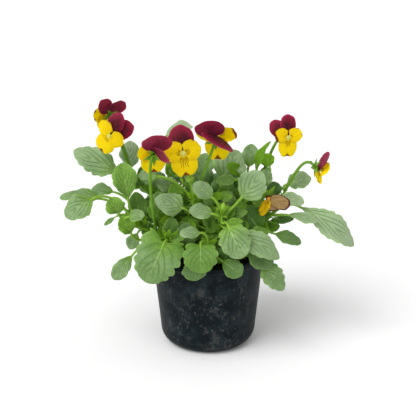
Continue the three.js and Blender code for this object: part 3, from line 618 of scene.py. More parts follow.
def lancet(base, direction, normal, length, width, tint, rows=9, columns=5):
    """A narrow pointed leaflet: half width = width/2 sin(pi s^0.7) (1 - 0.6 s^3), bowed outwards by
    0.12 (s - s^2) of its length."""
    s = np.linspace(0.02, 1, rows)
    t = np.linspace(-1, 1, columns)[None, :]
    across = np.cross(direction, normal)
    half = np.maximum(width / 2 * np.sin(np.pi * s**0.7) * (1 - 0.6 * s**3), LANCET_TIP)[:, None]
    points = base + direction * (length * s)[:, None] + normal * (length * 0.12 * (s - s**2))[:, None]
    lift = 0.35 * half * np.abs(t)
    middle = points[:, None, :] + (t * half)[..., None] * across + lift[..., None] * normal
    step = LANCET_THICKNESS / 2 * normal
    return sheet(middle + step, middle - step, (t + 1) / 2, s[:, None], tint, tint)


def stipule(spec, root, stem_way, chance):
    """Three lancets fanned out at the foot of a leaf's stalk."""
    outward = flattened(spec["neck"] - root, stem_way)
    up = unit(0.5 * stem_way + 0.9 * outward)
    normal = flattened(stem_way, up)
    lobes = []
    for turn, size in STIPULE_LOBES:
        way = turned(up, normal, turn + 20 * (chance - 0.5))
        length = (7.5 + 4 * chance) * size
        lobes.append(lancet(root + outward, way, normal, length, 2.5 * size, (0.45, 0.15, chance, 0)))
    return lobes


# %% [markdown]
# ## Shoots
# Each shoot is one stem that rises from the soil and leans over, with leaves on stalks. A rule could
# grow all of them, but the photo shows where the outer leaves are, so those are listed one by one. The
# three shoots at the back are hidden, and their outer leaves do follow a rule: each stands higher than
# the last and turns by the golden fraction, as leaves do to keep out of each other's light.
# A fan gives that rule its numbers: heading and spread in degrees, the heights of the lowest and the
# highest leaf, their reach and their size. A bud is told by its middle, the way it points, its width
# and its length.

# %% The shoots, with every leaf that the photo shows
# The greens of a leaf are its youth and a painted shade, which is painted light below 0.
SHOOTS = {
    "shoot_left": dict(
        root=(-13, -5), lean=(-38, -12, 114), top=(-68, -17, 126), blooms=["bloom_3"],
        leaves=[
            leaf(1, (-110, -16, 155), (-137, -28, 139), 27, HALF_FRONT, 0.2),
            leaf(0.93, (-101, -6, 150), (-145, -10, 153), 19, UP_FRONT, 0.2),
            leaf(0.75, (-69, -12, 118), (-78, -16, 102), 14),
            leaf(0.88, (-86, -27, 142), (-92, -31, 161), 20, fold=0.5, young=1.0, deep=-0.25),
            leaf(0.8, (-77, -38, 143), (-60, -44, 147), 14, HALF_FRONT, young=0.1),
            leaf(0.97, (-92, 2, 155), (-115, 4, 158), 14, HALF_FRONT, deep=0.2),
            leaf(0.9, (-77, -20, 153), (-82, -17, 191), 25, belly=1.6, fold=0.35, young=0.62),
            leaf(0.66, (-74, -31, 123), (-83, -35, 143), 17, fold=0.5, young=0.8),
            leaf(0.7, (-64, -8, 129), (-77, -8, 143), 16, young=0.7, deep=0.4),
            leaf(0.55, (-52, -6, 128), (-58, -5, 149), 18, young=0.6, deep=0.5),
            leaf(0.6, (-50, -14, 112), (-64, -16, 127), 17, young=0.6, deep=0.5),
            leaf(0.6, (-47, -23, 139), (-47, -23, 164), 19, young=0.3, deep=0.3),
            leaf(0.55, (-66, -8, 125), (-71, -6, 158), 20, young=0.5, deep=0.35),
            leaf(0.45, (-59, 2, 119), (-57, 2, 151), 22, deep=0.6),
            leaf(0.95, (-90, -20, 137), (-101, -22, 129), 5, young=0.4),
        ],
    ),
    "shoot_left_high": dict(
        root=(-10, 5), lean=(-35, 12, 126), top=(-70, 14, 162), blooms=["bloom_1", "bloom_2"],
        leaves=[
            leaf(0.95, (-88, 12, 172), (-133, 18, 193), 28, belly=0.95, teeth=4, deep=-0.3),
            leaf(0.92, (-77, 20, 173), (-78, 26, 201), 22, deep=-0.7),
            leaf(0.75, (-48, 0, 170), (-68, -4, 174), 18, HALF_FRONT),
        ],
    ),
    "shoot_front_left": dict(
        root=(-8, -12), lean=(-20, -32, 108), top=(-38, -42, 120),
        leaves=[
            leaf(1, (-42, -56, 122), (-58, -70, 89), 46, arch=0.1, belly=0.75, fold=0.12, heart=1.2,
                 teeth=6, young=0.1, deep=0.14),
            leaf(0.85, (-72, -33, 104), (-92, -39, 79), 17, belly=1.5),
            leaf(0.9, (-36, -42, 120), (-22, -44, 124), 12, UP_FRONT, young=0.6),
            leaf(0.6, (-37, -30, 115), (-34, -32, 141), 17, deep=0.5, young=0.4),
            leaf(0.4, (-22, -30, 108), (-20, -33, 136), 22, deep=0.5),
        ],
    ),
    "shoot_centre_left": dict(
        root=(-5, -3), lean=(-14, -14, 126), top=(-30, -16, 146),
        leaves=[
            leaf(0.8, (-23, -30, 149), (-51, -31, 159), 24, belly=0.7, deep=-0.35),
            leaf(0.95, (-30, -12, 157), (-50, -12, 172), 13),
            leaf(0.5, (-18, -6, 125), (-22, -5, 153), 18, young=0.3, deep=0.4),
        ],
    ),
    "shoot_centre": dict(
        root=(0, -8), lean=(-3, -14, 126), top=(-13, -27, 156), blooms=["bloom_4", "bloom_5"],
        buds=[((-17, -33, 180), (-0.2, -0.3, 1), 8, 10)],
        leaves=[
            leaf(0.95, (-47, -16, 177), (-66, -18, 176), 13, UP_FRONT),
            leaf(0.35, (-6, -12, 118), (-1, -10, 145), 20, deep=0.6),
        ],
    ),
    "shoot_front": dict(
        root=(2, -16), lean=(1, -36, 100), top=(0, -46, 114),
        leaves=[
            leaf(1, (-7, -60, 123), (-7, -71, 99), 34, belly=0.85, heart=0.5, teeth=4, young=0.5,
                 deep=0.28),
            leaf(0.9, (-15, -58, 109), (-11, -63, 88), 25, arch=0.08, deep=0.45),
            leaf(0.85, (12, -55, 106), (32, -64, 94), 19, belly=1.5, deep=0.5),
            leaf(0.98, (-6, -46, 130), (-27, -52, 131), 13, HALF_FRONT, deep=-0.3),
            leaf(0.6, (13, -36, 96), (26, -44, 115), 20, deep=0.7),
            leaf(0.6, (-11, -38, 100), (-22, -45, 110), 20, deep=0.6),
        ],
    ),
    "shoot_centre_right": dict(
        root=(7, -9), lean=(10, -28, 121), top=(13, -41, 146),
        buds=[((14, -44, 154), (0.1, -0.1, 1), 5, 12)],
        leaves=[
            leaf(1, (5, -38, 162), (-14, -42, 178), 17, deep=-0.3),
            leaf(0.97, (5, -46, 149), (-18, -50, 154), 17, HALF_FRONT, belly=1, deep=-0.3),
            leaf(0.9, (19, -48, 138), (32, -66, 112), 31, belly=0.95, heart=0.2, teeth=4),
            leaf(0.95, (31, -28, 158), (52, -32, 186), 30, arch=0.08, belly=1, teeth=3, deep=-0.35),
            leaf(0.85, (19, -45, 133), (68, -51, 106), 24, HALF_FRONT, 0.22, deep=-0.3),
            leaf(1, (15, -44, 139), (33, -46, 142), 8, young=0.8),
            leaf(0.5, (24, -21, 120), (26, -20, 148), 20, deep=0.7),
        ],
    ),
    "shoot_front_right": dict(
        root=(11, -12), lean=(24, -28, 100), top=(36, -37, 107),
        leaves=[
            leaf(1, (37, -36, 113), (62, -45, 94), 25, HALF_FRONT, 0.08, deep=0.25),
            leaf(0.9, (51, -42, 100), (73, -49, 72), 22, arch=0.08, belly=1, teeth=5),
        ],
    ),
    "shoot_right": dict(
        root=(14, -2), lean=(60, -14, 116), top=(76, 3, 156), blooms=["bloom_7", "bloom_8"],
        leaves=[
            leaf(0.72, (64, -12, 117), (92, -14, 107), 15, HALF_FRONT, deep=0.35),
            leaf(0.76, (89, -2, 142), (145, -7, 102), 27, HALF_FRONT, 0.24, teeth=2, deep=-0.6),
            leaf(0.78, (77, -14, 137), (106, -22, 132), 14, UP_FRONT, deep=-0.4),
            leaf(0.7, (60, 6, 123), (86, 6, 126), 9, deep=0.6),
            leaf(0.95, (69, -8, 154), (94, -10, 148), 15, HALF_FRONT, deep=-0.5),
            leaf(0.92, (67, 10, 146), (64, 12, 163), 17, deep=0.5),
            leaf(1, (78, 14, 159), (103, 18, 165), 21, HALF_FRONT, belly=0.9, deep=-0.4),
            leaf(0.58, (52, -16, 120), (34, -14, 144), 28, deep=0.8),
        ],
    ),
    "shoot_right_high": dict(
        root=(8, 6), lean=(22, 8, 136), top=(50, 2, 164), blooms=["bloom_6"],
        leaves=[
            leaf(0.85, (13, 12, 164), (31, 20, 192), 36, belly=0.9, teeth=3, deep=-0.3),
            leaf(0.8, (28, -4, 170), (8, -10, 169), 13, HALF_FRONT, young=0.5),
            leaf(1, (48, 0, 172), (61, 2, 207), 11, (-0.8, -0.6, 0.5), 0.35, young=1, deep=0.2),
            leaf(1, (60, -6, 183), (55, -6, 197), 15, young=1, deep=0.1),
            leaf(0.9, (40, 20, 174), (44, 25, 198), 18),
            leaf(1, (53, -6, 162), (58, -4, 181), 15),
            leaf(0.6, (27, -10, 146), (12, -14, 158), 16),
        ],
    ),
    "shoot_back_left": dict(
        root=(-9, 12), lean=(-22, 30, 111), top=(-38, 42, 146), fan=(132, 44, 102, 162, 54, 43),
        leaves=[
            leaf(0.3, (-24, 22, 108), (-30, 24, 144), 32, deep=0.7),
            leaf(0.9, (-52, 27, 140), (-60, 30, 172), 30),
        ],
    ),
    "shoot_back": dict(
        root=(1, 15), lean=(2, 36, 114), top=(-6, 46, 156), fan=(86, 26, 100, 160, 56, 42),
        leaves=[
            leaf(1, (-43, 32, 203), (-15, 34, 213), 17, (0, -1, 2), 0.45, deep=-0.7),
            leaf(0.7, (-8, 26, 142), (-10, 28, 180), 31, deep=0.3),
            leaf(0.5, (14, 24, 132), (20, 24, 168), 30, deep=0.6),
        ],
    ),
    "shoot_back_right": dict(
        root=(11, 10), lean=(26, 28, 111), top=(40, 40, 142), fan=(48, 44, 102, 154, 56, 43),
        leaves=[leaf(0.25, (22, 14, 108), (28, 16, 146), 34, deep=0.7)],
    ),
}
print("leaves placed by hand:", sum(len(shoot["leaves"]) for shoot in SHOOTS.values()))

# %% The rule for the hidden leaves
FAN_LEAVES = 5
GOLDEN = 0.618
DROOP = -42  # pitch in degrees of a fan's lowest leaf
LIFT = 40  # and of its highest


def fan_leaves(heading, fan, low, high, reach, size):
    """Leaf k rises by k/4 of the way from low to high, turned within the fan by the golden fraction,
    drooping low down and rising near the top. Its size and distance vary by a tenth either way."""
    leaves = []
    for k in range(FAN_LEAVES):
        rise = k / (FAN_LEAVES - 1)
        turn = np.radians(heading + fan * ((GOLDEN * k + 0.3) % 1 - 0.5))
        pitch = np.radians(DROOP + (LIFT - DROOP) * rise)
        distance = reach * (1 - 0.4 * rise**2) * (0.9 + 0.2 * (0.37 * k % 1))
        length = size * (1 - 0.2 * rise) * (0.9 + 0.2 * (0.755 * k % 1))
        outward = np.array([np.cos(turn), np.sin(turn), 0])
        neck = outward * distance + (0, 0, low + (high - low) * rise)
        tip = neck + length * (outward * np.cos(pitch) + np.array([0, 0, np.sin(pitch)]))
        face = outward + (0, 0, 2)
        leaves.append(leaf(0.3 + 0.7 * rise, neck, tip, 0.66 * length, face, young=0.15 * rise))
    return leaves


# %% [markdown]
# ## The thicket inside
# Between its outer leaves a real bush is full of young ones, which are what the eye meets in the gaps.
# They could be copies of one leaf, but the eye soon finds copies. So a seeded rule draws a place, a
# pitch, a length, a green and a painted shade for each, and the same blade and petiole functions
# shape them, on a coarser grid because they are small.

# %% The rule for the small leaves deep in the bush
UNDERGROWTH = 28
UNDER_OUT = (5, 20)  # how far a small leaf stands out from its stem
UNDER_UP = (0, 18)
UNDER_PITCH = (5, 65)  # degrees
UNDER_LENGTH = (15, 24)
UNDER_YOUNG = (0.5, 1.0)
# range of the painted shade on the small leaves
UNDER_PAINTED_SHADE = (0, 0.5)
BUSH_LEFT = -84
BUSH_RIGHT = 58
BUSH_FRONT = -24
ROSETTE = 6
ROSETTE_LENGTH = (7, 11)
UNDER_GRID = (17, 7)  # rows and columns of a small blade
UNDER_TUBE = (8, 6)  # rings and sides of its stalk


def undergrowth(line, heading):
    """Small leaves up a stem, each turned on from the last by the golden fraction of a full turn, at
    distances, heights, pitches and lengths drawn from the ranges above. A rosette of narrow fresh ones
    ends the stem. None is kept that would stick out left or right of the bush, and none grows in
    front of the leaves listed one by one."""
    leaves = []
    for k in range(UNDERGROWTH):
        start = 0.08 + 0.84 * (k + rng.random()) / UNDERGROWTH
        turn = 2 * np.pi * (GOLDEN * k + heading)
        outward = np.array([np.cos(turn), 0.5 * np.sin(turn), 0])
        neck = bend(line, [start])[0] + outward * rng.uniform(*UNDER_OUT) + (0, 4, rng.uniform(*UNDER_UP))
        neck[1] = max(neck[1], BUSH_FRONT)
        pitch = np.radians(rng.uniform(*UNDER_PITCH))
        length = rng.uniform(*UNDER_LENGTH)
        tip = neck + length * (outward * np.cos(pitch) + np.array([0, 0, np.sin(pitch)]))
        face = 0.3 * outward + (0, -0.7, 0.8)
        young = rng.uniform(*UNDER_YOUNG)
        deep = rng.uniform(*UNDER_PAINTED_SHADE)
        if BUSH_LEFT < neck[0] < BUSH_RIGHT:
            leaves.append(leaf(start, neck, tip, 0.62 * length, face, young=young, deep=deep))
    for k in range(ROSETTE):
        turn = 2 * np.pi * (GOLDEN * k + heading)
        outward = np.array([np.cos(turn), np.sin(turn), 0])
        neck = bend(line, [0.97])[0] + outward * 1.5 + (0, 0, 2 + 0.6 * k)
        tip = neck + rng.uniform(*ROSETTE_LENGTH) * (0.6 * outward + (0, 0, 0.8))
        if BUSH_LEFT < neck[0] < BUSH_RIGHT:
            leaves.append(leaf(0.96, neck, tip, 4.2, 0.5 * outward + (0, -0.6, 0.6), young=1.0))
    return leaves


# %% [markdown]
# ## Blooms
# A pansy's bloom has five petals: two maroon ones at the back, two yellow ones at the sides and a broad
# yellow lip. Each petal is a function of two numbers: the angle off its middle, and how far out from
# the throat a point lies. It leans back from a hinge at the throat, domes a little and ruffles at its
# rim. The photo shows three blooms from the front, one from the side, three from behind and a spent one.
#
# A petal is told by its length and width, its turn off upright and its reflex, how far it leans back,
# both in degrees. Its layer says how far out along the bloom's axis it sits. oval narrows its outline,
# notch cuts in the middle of its rim, and whiskers is how far out its dark lines go. A blot has a middle
# and a half width in degrees, and a depth from the rim as a share of the way in.
#
# A bloom is told by the place it is at, the way it faces and its roll about that way. sway and hook are
# the two points that bend its stalk, and start is how far up the shoot the stalk leaves, if not at the
# end. Its scale and whiskers multiply those of its petals.

# %% The usual petals, and how each bloom differs
UPPER = [
    dict(length=27, width=24, turn=26, reflex=24, layer=-2.2, oval=1.5),
    dict(length=27, width=24, turn=-26, reflex=12, layer=-1.15, oval=1.5),
]
LOWER = [
    dict(length=17.5, width=20, turn=72, reflex=4, layer=1.1, whiskers=0.7),
    dict(length=17.5, width=20, turn=-72, reflex=4, layer=1.1, whiskers=0.7),
    dict(length=23, width=25, turn=180, reflex=7, notch=0.09, layer=0, whiskers=1.0,
         blots=[(0, 12, 0.19)]),
]
BLOOMS = {
    "bloom_1": dict(
        at=(-98, 22, 230), faces=(-0.5, 0.85, 0.15), roll=4, scale=0.78, sway=(-84, 16, 186),
        upper=[dict(turn=36, width=20, reflex=26), dict(turn=-34, width=20, reflex=14)],
        lower=[dict(), dict(turn=-98, length=21, width=22, blots=[(-20, 10, 0.2), (14, 9, 0.16)]),
               dict(turn=200)],
    ),
    "bloom_2": dict(
        at=(-94.5, -8, 215), faces=(-0.35, -0.95, 0.05), roll=-42, scale=0.9, whiskers=0.6,
        sway=(-82, 6, 181), hook=(-82, 10, 208),
        upper=[dict(turn=-20, width=21), dict(turn=20, width=19)],
        lower=[dict(width=16, length=18.5), dict(width=18), dict(turn=189, length=23, width=23)],
    ),
    "bloom_3": dict(
        at=(-51, -50, 211), faces=(-0.25, 0.9, 0.25), scale=0.95, start=0.8, sway=(-53, -58, 160),
        hook=(-56, -66, 209),
        upper=[dict(turn=62, reflex=63, length=25, width=20), dict(turn=10, reflex=22, width=30)],
        lower=[dict(), dict(turn=-100, length=15), dict(turn=176)],
    ),
    "bloom_4": dict(
        at=(-23, -42, 207), faces=(0.05, -1, 0.15), roll=7,
        upper=[dict(turn=40, length=24, width=21, reflex=34), dict(turn=0)],
        lower=[dict(), dict(blots=[(-30, 8, 0.09)]), dict()],
    ),
    "bloom_5": dict(
        at=(8, -20, 218), faces=(0.15, 0.85, 0.45), scale=0.95, sway=(-8, -38, 176),
        hook=(5, -32, 211),
        upper=[dict(turn=34, reflex=66, width=36), dict(turn=-22, reflex=10, width=31)],
        lower=[dict(length=22, blots=[(0, 34, 0.2)]), dict(length=21), dict(length=30)],
    ),
    "bloom_6": dict(
        at=(77, -6, 213), faces=(0.1, -1, 0.02), scale=0.82, whiskers=0.8, sway=(58, 0, 186),
        hook=(66, 6, 216), upper=[dict(turn=50, width=20), dict(turn=-2, width=19)],
        lower=[dict(length=16.5, width=18, blots=[(-24, 32, 0.3)]),
               dict(width=18, blots=[(-30, 8, 0.1), (10, 9, 0.1)]), dict(length=26, width=22)],
    ),
    "bloom_7": dict(
        at=(109.5, 2, 178), faces=(0.8, 0.2, -0.56), scale=0.8, sway=(88, 4, 180),
        upper=[dict(turn=12, length=25, width=19, reflex=4), dict(turn=-14, length=25, width=19, reflex=-4)],
        lower=[dict(turn=52, reflex=-15, length=15), dict(turn=-52, reflex=-15, length=15),
               dict(reflex=-40, length=18)],
    ),
    "bloom_8": dict(
        at=(58, -26, 158), faces=(0, -1, -0.2), start=0.85, spent=True,
        upper=[dict(turn=-152, length=19, width=15, reflex=8),
               dict(turn=-118, length=24, width=16, reflex=3)],
        lower=[dict(turn=156, length=19, width=7, reflex=8), dict(turn=174, length=15, width=6),
               dict(turn=165, length=23, width=8, notch=0, blots=[])],
    ),
}


def petals_of(bloom, usual, key):
    """The usual petals, each with what the bloom says of its own."""
    return [{**petal, **own} for petal, own in zip(usual, bloom.get(key, [{}] * len(usual)))]


def bloom_axes(bloom):
    """Forward out of the bloom's face, and up along its maroon petals, rolled about forward."""
    forward = unit(bloom["faces"])
    up = flattened((0, 0, 1), forward)
    return forward, turned(up, forward, bloom.get("roll", 0))


# %% One petal
PETAL_SPREAD = 80  # degrees from a petal's middle to either side
PETAL_THICKNESS = 0.34
PETAL_ROWS = 25
PETAL_COLUMNS = 41
PETAL_ROOT = 1.1  # half width of its root
PETAL_OVAL = 0.6
HINGE = 2  # how far from the bloom's axis a petal starts to lean
TUCK = 1.4  # how far its root reaches in under the eye
NOTCH_SPREAD = 9
FULL_LENGTH = 27  # a shorter petal domes and ruffles less


def petal(bloom, p, ruffle, has_back=False):
    """Outline: at phi off the middle the rim lies length cos(phi)^oval away, squeezed to the width.
    A point at share r goes from the root to the rim, lifted by a dome sin(pi r), rolled back by r^3
    and ruffled at the rim by a sum of two waves in phi. Tint: whiskers (or 1 on a back that has a
    colour of its own, paler partly as painted light), blot, chance, and spent."""
    size = bloom.get("scale", 1)
    forward, up = bloom_axes(bloom)
    flat = turned(up, forward, p["turn"])
    sideways = turned(up, forward, p["turn"] - 90)
    leaning = turned(flat, sideways, -p["reflex"])
    out = np.cross(sideways, leaning)
    hinge = np.array(bloom["at"]) + forward * p["layer"] + flat * HINGE
    chance = rng.random()
    degrees = np.linspace(-PETAL_SPREAD, PETAL_SPREAD, PETAL_COLUMNS)[None, :]
    phi = np.radians(degrees)
    r = np.sin(np.pi / 2 * np.linspace(0, 1, PETAL_ROWS))[:, None]
    notch = p.get("notch", 0) * np.exp(-((degrees / NOTCH_SPREAD) ** 2))
    uneven = 1 + 0.012 * np.sin(9 * phi + 7 * chance) + 0.008 * np.sin(17 * phi + 3 * chance)
    oval = p.get("oval", PETAL_OVAL)
    widest = np.arctan(oval**-0.5)
    breadth = 2 * np.sin(widest) * np.cos(widest) ** oval
    reach = size * p["length"] * np.cos(phi) ** oval * (1 - notch) * uneven
    rim_x = reach * np.sin(phi) * p["width"] / (p["length"] * breadth)
    rim_y = np.maximum(reach * np.cos(phi) - HINGE, 0.3)
    x = PETAL_ROOT * np.sin(phi) * (1 - r) + rim_x * r
    y = rim_y * r - TUCK * (1 - r) ** 3
    span = size * p["length"] / FULL_LENGTH
    ruffled = ruffle * r**4 * (np.sin(6 * phi + 9 * chance) + 0.6 * np.sin(13 * phi + 5 * chance))
    z = span * (1.1 * np.sin(np.pi * r) * np.cos(phi) ** 0.5 - 1.0 * r**3 + ruffled)
    middle = hinge + x[..., None] * sideways + y[..., None] * leaning + z[..., None] * out
    blot = np.zeros_like(z)
    for centre, half, depth in p.get("blots", []):
        inward = 1 - depth * np.clip(1 - np.abs(degrees - centre) / half, 0, 1) ** 0.7
        blot = np.maximum(blot, smooth(-0.02, 0.04, r - inward) * (np.abs(degrees - centre) < half))
    whiskers = p.get("whiskers", 0) * bloom.get("whiskers", 1)
    tint = np.stack([whiskers + 0 * z, blot, chance + 0 * z, bloom.get("spent", 0) + 0 * z], -1)
    step = PETAL_THICKNESS / 2 * (1 - 0.5 * r**6)[..., None] * out
    behind = tint + np.array([1, 0, 0, 0]) if has_back else tint
    return sheet(middle + step, middle - step, (degrees / PETAL_SPREAD + 1) / 2, r, tint, behind)


# %% [markdown]
# ## Velvet
# A petal's skin is a lawn of tiny cones, so it has hardly any gloss, and light that enters it comes
# out again close by. That asks for a rough surface, subsurface scattering and a fine relief. The rays
# and whiskers could be painted, but they fan out from the throat on every petal, and the petal's own
# map has the throat at v = 0. Noise that is fine across u and slow along v gives the rays, and a wave
# in u that stops at an uneven v gives the whiskers.

# %% Maroon and yellow
WHISKERS = 14.0  # dark lines over the whole spread of a petal


def maroon():
    """Velvet with fine rays: nearly black at the throat, magenta towards the rim, and paler on the back,
    partly its own colour and partly painted light. A spent petal is straw-coloured, with a dark rim."""
    r = Recipe("maroon_velvet")
    u, v = r.pattern()
    back, _, chance, spent = r.tint()
    rays = r.noise(r.joined(r.times(u, 60.0), r.times(v, 1.6), chance), 2.0, 3.0, 0.6)
    streaked = r.ramp(rays, 0.3, 0.7)
    dark = r.times(r.ramp(v, 0.98, 0.5), r.ramp(rays, 0.34, 0.6, 1.0, 0.3))
    withered = r.mix(r.ramp(rays, 0.35, 0.65), srgb(128, 100, 56), srgb(186, 160, 104))
    colour = r.coated(
        r.mix(streaked, srgb(84, 10, 28), srgb(118, 18, 40)),
        (r.times(r.ramp(v, 0.5, 0.92), 0.6), srgb(138, 26, 60)),
        # paler back: partly the back's own colour, partly painted light on backs that face away from the
        # lamp
        (r.times(back, 0.78), r.mix(streaked, srgb(126, 34, 62), srgb(162, 54, 86))),
        (r.times(dark, r.ramp(back, 0.0, 1.0, 1.0, 0.25)), srgb(30, 6, 12)),
        (r.times(r.ramp(v, 0.94, 0.99), 0.5), srgb(168, 52, 96)),
        (spent, r.mix(r.ramp(v, 0.86, 0.95), withered, srgb(70, 26, 44))),
    )
    relief = r.math("ADD", r.times(rays, 0.6), r.times(r.noise(r.place(), 2500.0), 0.4))
    return r.finish(
        colour, 0.62, relief, 0.00018,
        Subsurface_Weight=0.35, Subsurface_Radius=(1.0, 0.25, 0.35), Subsurface_Scale=0.0015,
        Sheen_Weight=0.06, Sheen_Roughness=0.35, Sheen_Tint=(0.9, 0.4, 0.55, 1), Specular_IOR_Level=0.15,
    )


def yellow():
    """Golden velvet. Brown whiskers run out from a pale green throat, blots darken the rim. line is 0
    on a whisker and 0.5 midway to the next, and a whisker ends where v passes its length."""
    r = Recipe("yellow_velvet")
    u, v = r.pattern()
    whiskers, blot, chance, spent = r.tint()
    rays = r.noise(r.joined(r.times(u, 46.0), r.times(v, 1.4), chance), 2.0, 3.0, 0.6)
    fan = r.times(u, WHISKERS)
    line = r.math("SUBTRACT", 0.5, r.math("PINGPONG", fan, 0.5))
    uneven = r.ramp(r.noise(r.joined(fan, chance), 1.7), 0.3, 0.7, 0.36, 0.6)
    middle = r.ramp(r.math("ABSOLUTE", r.math("SUBTRACT", u, 0.5)), 0.36, 0.2)
    length = r.times(uneven, whiskers, middle)
    narrow = r.math("LESS_THAN", line, r.ramp(v, 0.12, 0.6, 0.26, 0.09))
    stroke = r.times(narrow, r.math("LESS_THAN", v, length), r.ramp(whiskers, 0.4, 0.7, 0.4, 1.0))
    colour = r.coated(
        r.mix(r.ramp(rays, 0.3, 0.7), srgb(246, 187, 2), srgb(254, 205, 4)),
        (r.times(r.ramp(v, 0.8, 0.98), 0.35), srgb(232, 180, 4)),
        (r.times(stroke, r.ramp(v, 0.1, 0.16)), srgb(92, 38, 6)),
        (r.ramp(v, 0.12, 0.04), srgb(206, 214, 120)),
        (blot, srgb(84, 24, 20)),
        (r.times(spent, r.ramp(v, 0.0, 0.2, 0.9, 0.35)), srgb(222, 140, 10)),
    )
    relief = r.math("ADD", r.times(rays, 0.7), r.times(r.noise(r.place(), 2500.0), 0.3))
    return r.finish(
        colour, 0.6, relief, 0.00018,
        Subsurface_Weight=0.7, Subsurface_Radius=(0.85, 0.8, 0.15), Subsurface_Scale=0.0025,
        Specular_IOR_Level=0.08,
    )


MAROON = maroon()
YELLOW = yellow()


# %% The eye of a bloom
THROAT = np.array([0.9, 1, 1, 1, 0.95, 0.85, 0.65, 0.3])  # its radius from back to front
TUFT = [(1.6, -0.4, 1.8), (1.4, 0.5, 2.2), (1.0, 1.4, 2.3), (0.4, 2.3, 2.1), (0.2, 3.0, 1.6)]
TUFT_RADIUS = np.array([0.3, 0.5, 0.55, 0.5, 0.3])


def plain_tube(path, radius, sides, tint):
    """A tube that reads its material at u = v = 0 all over, the colour of the throat."""
    points, faces, uv, tint = tube(path, radius, sides, tint)
    return points, faces, 0 * uv, tint


def throat(bloom, back, front, radius, spent=0):
    """The short hub on the bloom's axis that its petals grow from, rounded at its front."""
    forward = bloom_axes(bloom)[0]
    path = np.array(bloom["at"]) + forward * np.linspace(back, front, len(THROAT))[:, None]
    return plain_tube(path, radius * THROAT, 12, (0, 0, 0.5, spent))


def beard(bloom):
    """The two pale tufts that stand at the sides of the eye and lean together over it. TUFT is a path
    of steps sideways, up and forward."""
    forward, up = bloom_axes(bloom)
    side = np.cross(forward, up)
    size = bloom.get("scale", 1)
    tufts = []
    for hand in (-1, 1):
        path = [np.array(bloom["at"]) + size * (hand * a * side + b * up + c * forward) for a, b, c in TUFT]
        tufts.append(plain_tube(np.array(path), size * TUFT_RADIUS, 8, (0, 0, 0.5, 0)))
    return tufts


# %% Build the petals of every bloom
RED_RUFFLE = 0.3
YELLOW_RUFFLE = 0.5

for name, bloom in BLOOMS.items():
    red = [petal(bloom, p, RED_RUFFLE, has_back=True) for p in petals_of(bloom, UPPER, "upper")]
    red.append(throat(bloom, -2.6, -0.75, 2.2))
    piece(f"{name}_red", red, MAROON, "red_petal", f"{name}_red_petals")
    gold = [petal(bloom, p, YELLOW_RUFFLE) for p in petals_of(bloom, LOWER, "lower")]
    gold.append(throat(bloom, -0.4, 2.6, 1.7 * bloom.get("scale", 1), bloom.get("spent", 0)))
    if not bloom.get("spent"):
        gold.extend(beard(bloom))
    piece(f"{name}_yellow", gold, YELLOW, "yellow_petal", f"{name}_yellow_petals")

# %% [markdown]
# ## The green back of a bloom, its stalk, and buds
# Behind the petals sit five pointed sepals on a small cup, and the lip's spur pokes out between them.
# The stalk rises from the shoot and hooks over into the cup. All of it is green and part of the shoot,
# so these functions return parts, and the shoots gather them.

# %% Sepals, cup and spur
SEPALS = 5
SEPAL_LENGTH = 12
SEPAL_WIDTH = 4.4
SEPAL_LEAN = 14
SEPAL_DEPTH = -4.35  # places on the bloom's axis, behind its eye
CUP_BACK = -6.2
CUP_FRONT = -2.9
CUP = np.array([0.9, 1.35, 1.6, 1.7, 1.7, 1.5])  # radius from back to front
SPUR = np.array([1.2, 1.15, 1.05, 1.0, 0.8, 0.3])
SPUR_REACH = np.array([0.0, 0.2, 0.45, 0.7, 0.9, 1.0])


def calyx(bloom):
    """Five lancets on the bloom's axis, each with a short lobe behind it. Each leans back by
    SEPAL_LEAN degrees more than the petals that lie before it."""
    forward, up = bloom_axes(bloom)
    size = bloom.get("scale", 1)
    heart = np.array(bloom["at"]) + forward * SEPAL_DEPTH
    petals = petals_of(bloom, UPPER, "upper") + petals_of(bloom, LOWER, "lower")
    parts = []
    for k in range(SEPALS):
        turn = 360 / SEPALS * (k + 0.5)
        near = [(p["reflex"], np.cos(np.radians(p["turn"] - turn))) for p in petals]
        slopes = [np.tan(np.radians(reflex)) * share for reflex, share in near if share > 0.3]
        lean = np.arctan(max(slopes, default=0.0)) + np.radians(SEPAL_LEAN)
        way = turned(up, forward, turn) * np.cos(lean) - forward * np.sin(lean)
        normal = flattened(-forward, way)
        tint = (0.25, 0.1, rng.random(), 0)
        parts.append(lancet(heart + way * 0.4, way, normal, SEPAL_LENGTH * size, SEPAL_WIDTH, tint, 11, 7))
        parts.append(lancet(heart - forward, -forward - 0.1 * way, way, 2.4, 2.6, tint))
    path = np.array(bloom["at"]) + forward * np.linspace(CUP_BACK, CUP_FRONT, len(CUP))[:, None]
    parts.append(tube(path, CUP, 10, (0.1, 0.2, 0.5, 0)))
    root = np.array(bloom["at"]) - forward * 2.2 - up * 1.2
    reach = SPUR_REACH[:, None]
    spur = root + (-forward * 6.5 * size - up * 2.0) * reach + up * reach**2
    parts.append(tube(spur, SPUR, 10, (0.5, 0, 0.5, 0.55)))
    return parts


# %% The hooked stalk
STALK_RADIUS = 1.35
STALK_RINGS = 33
SCALES = ((24, 1), (25, -1))  # the ring where each scale sits, and its side


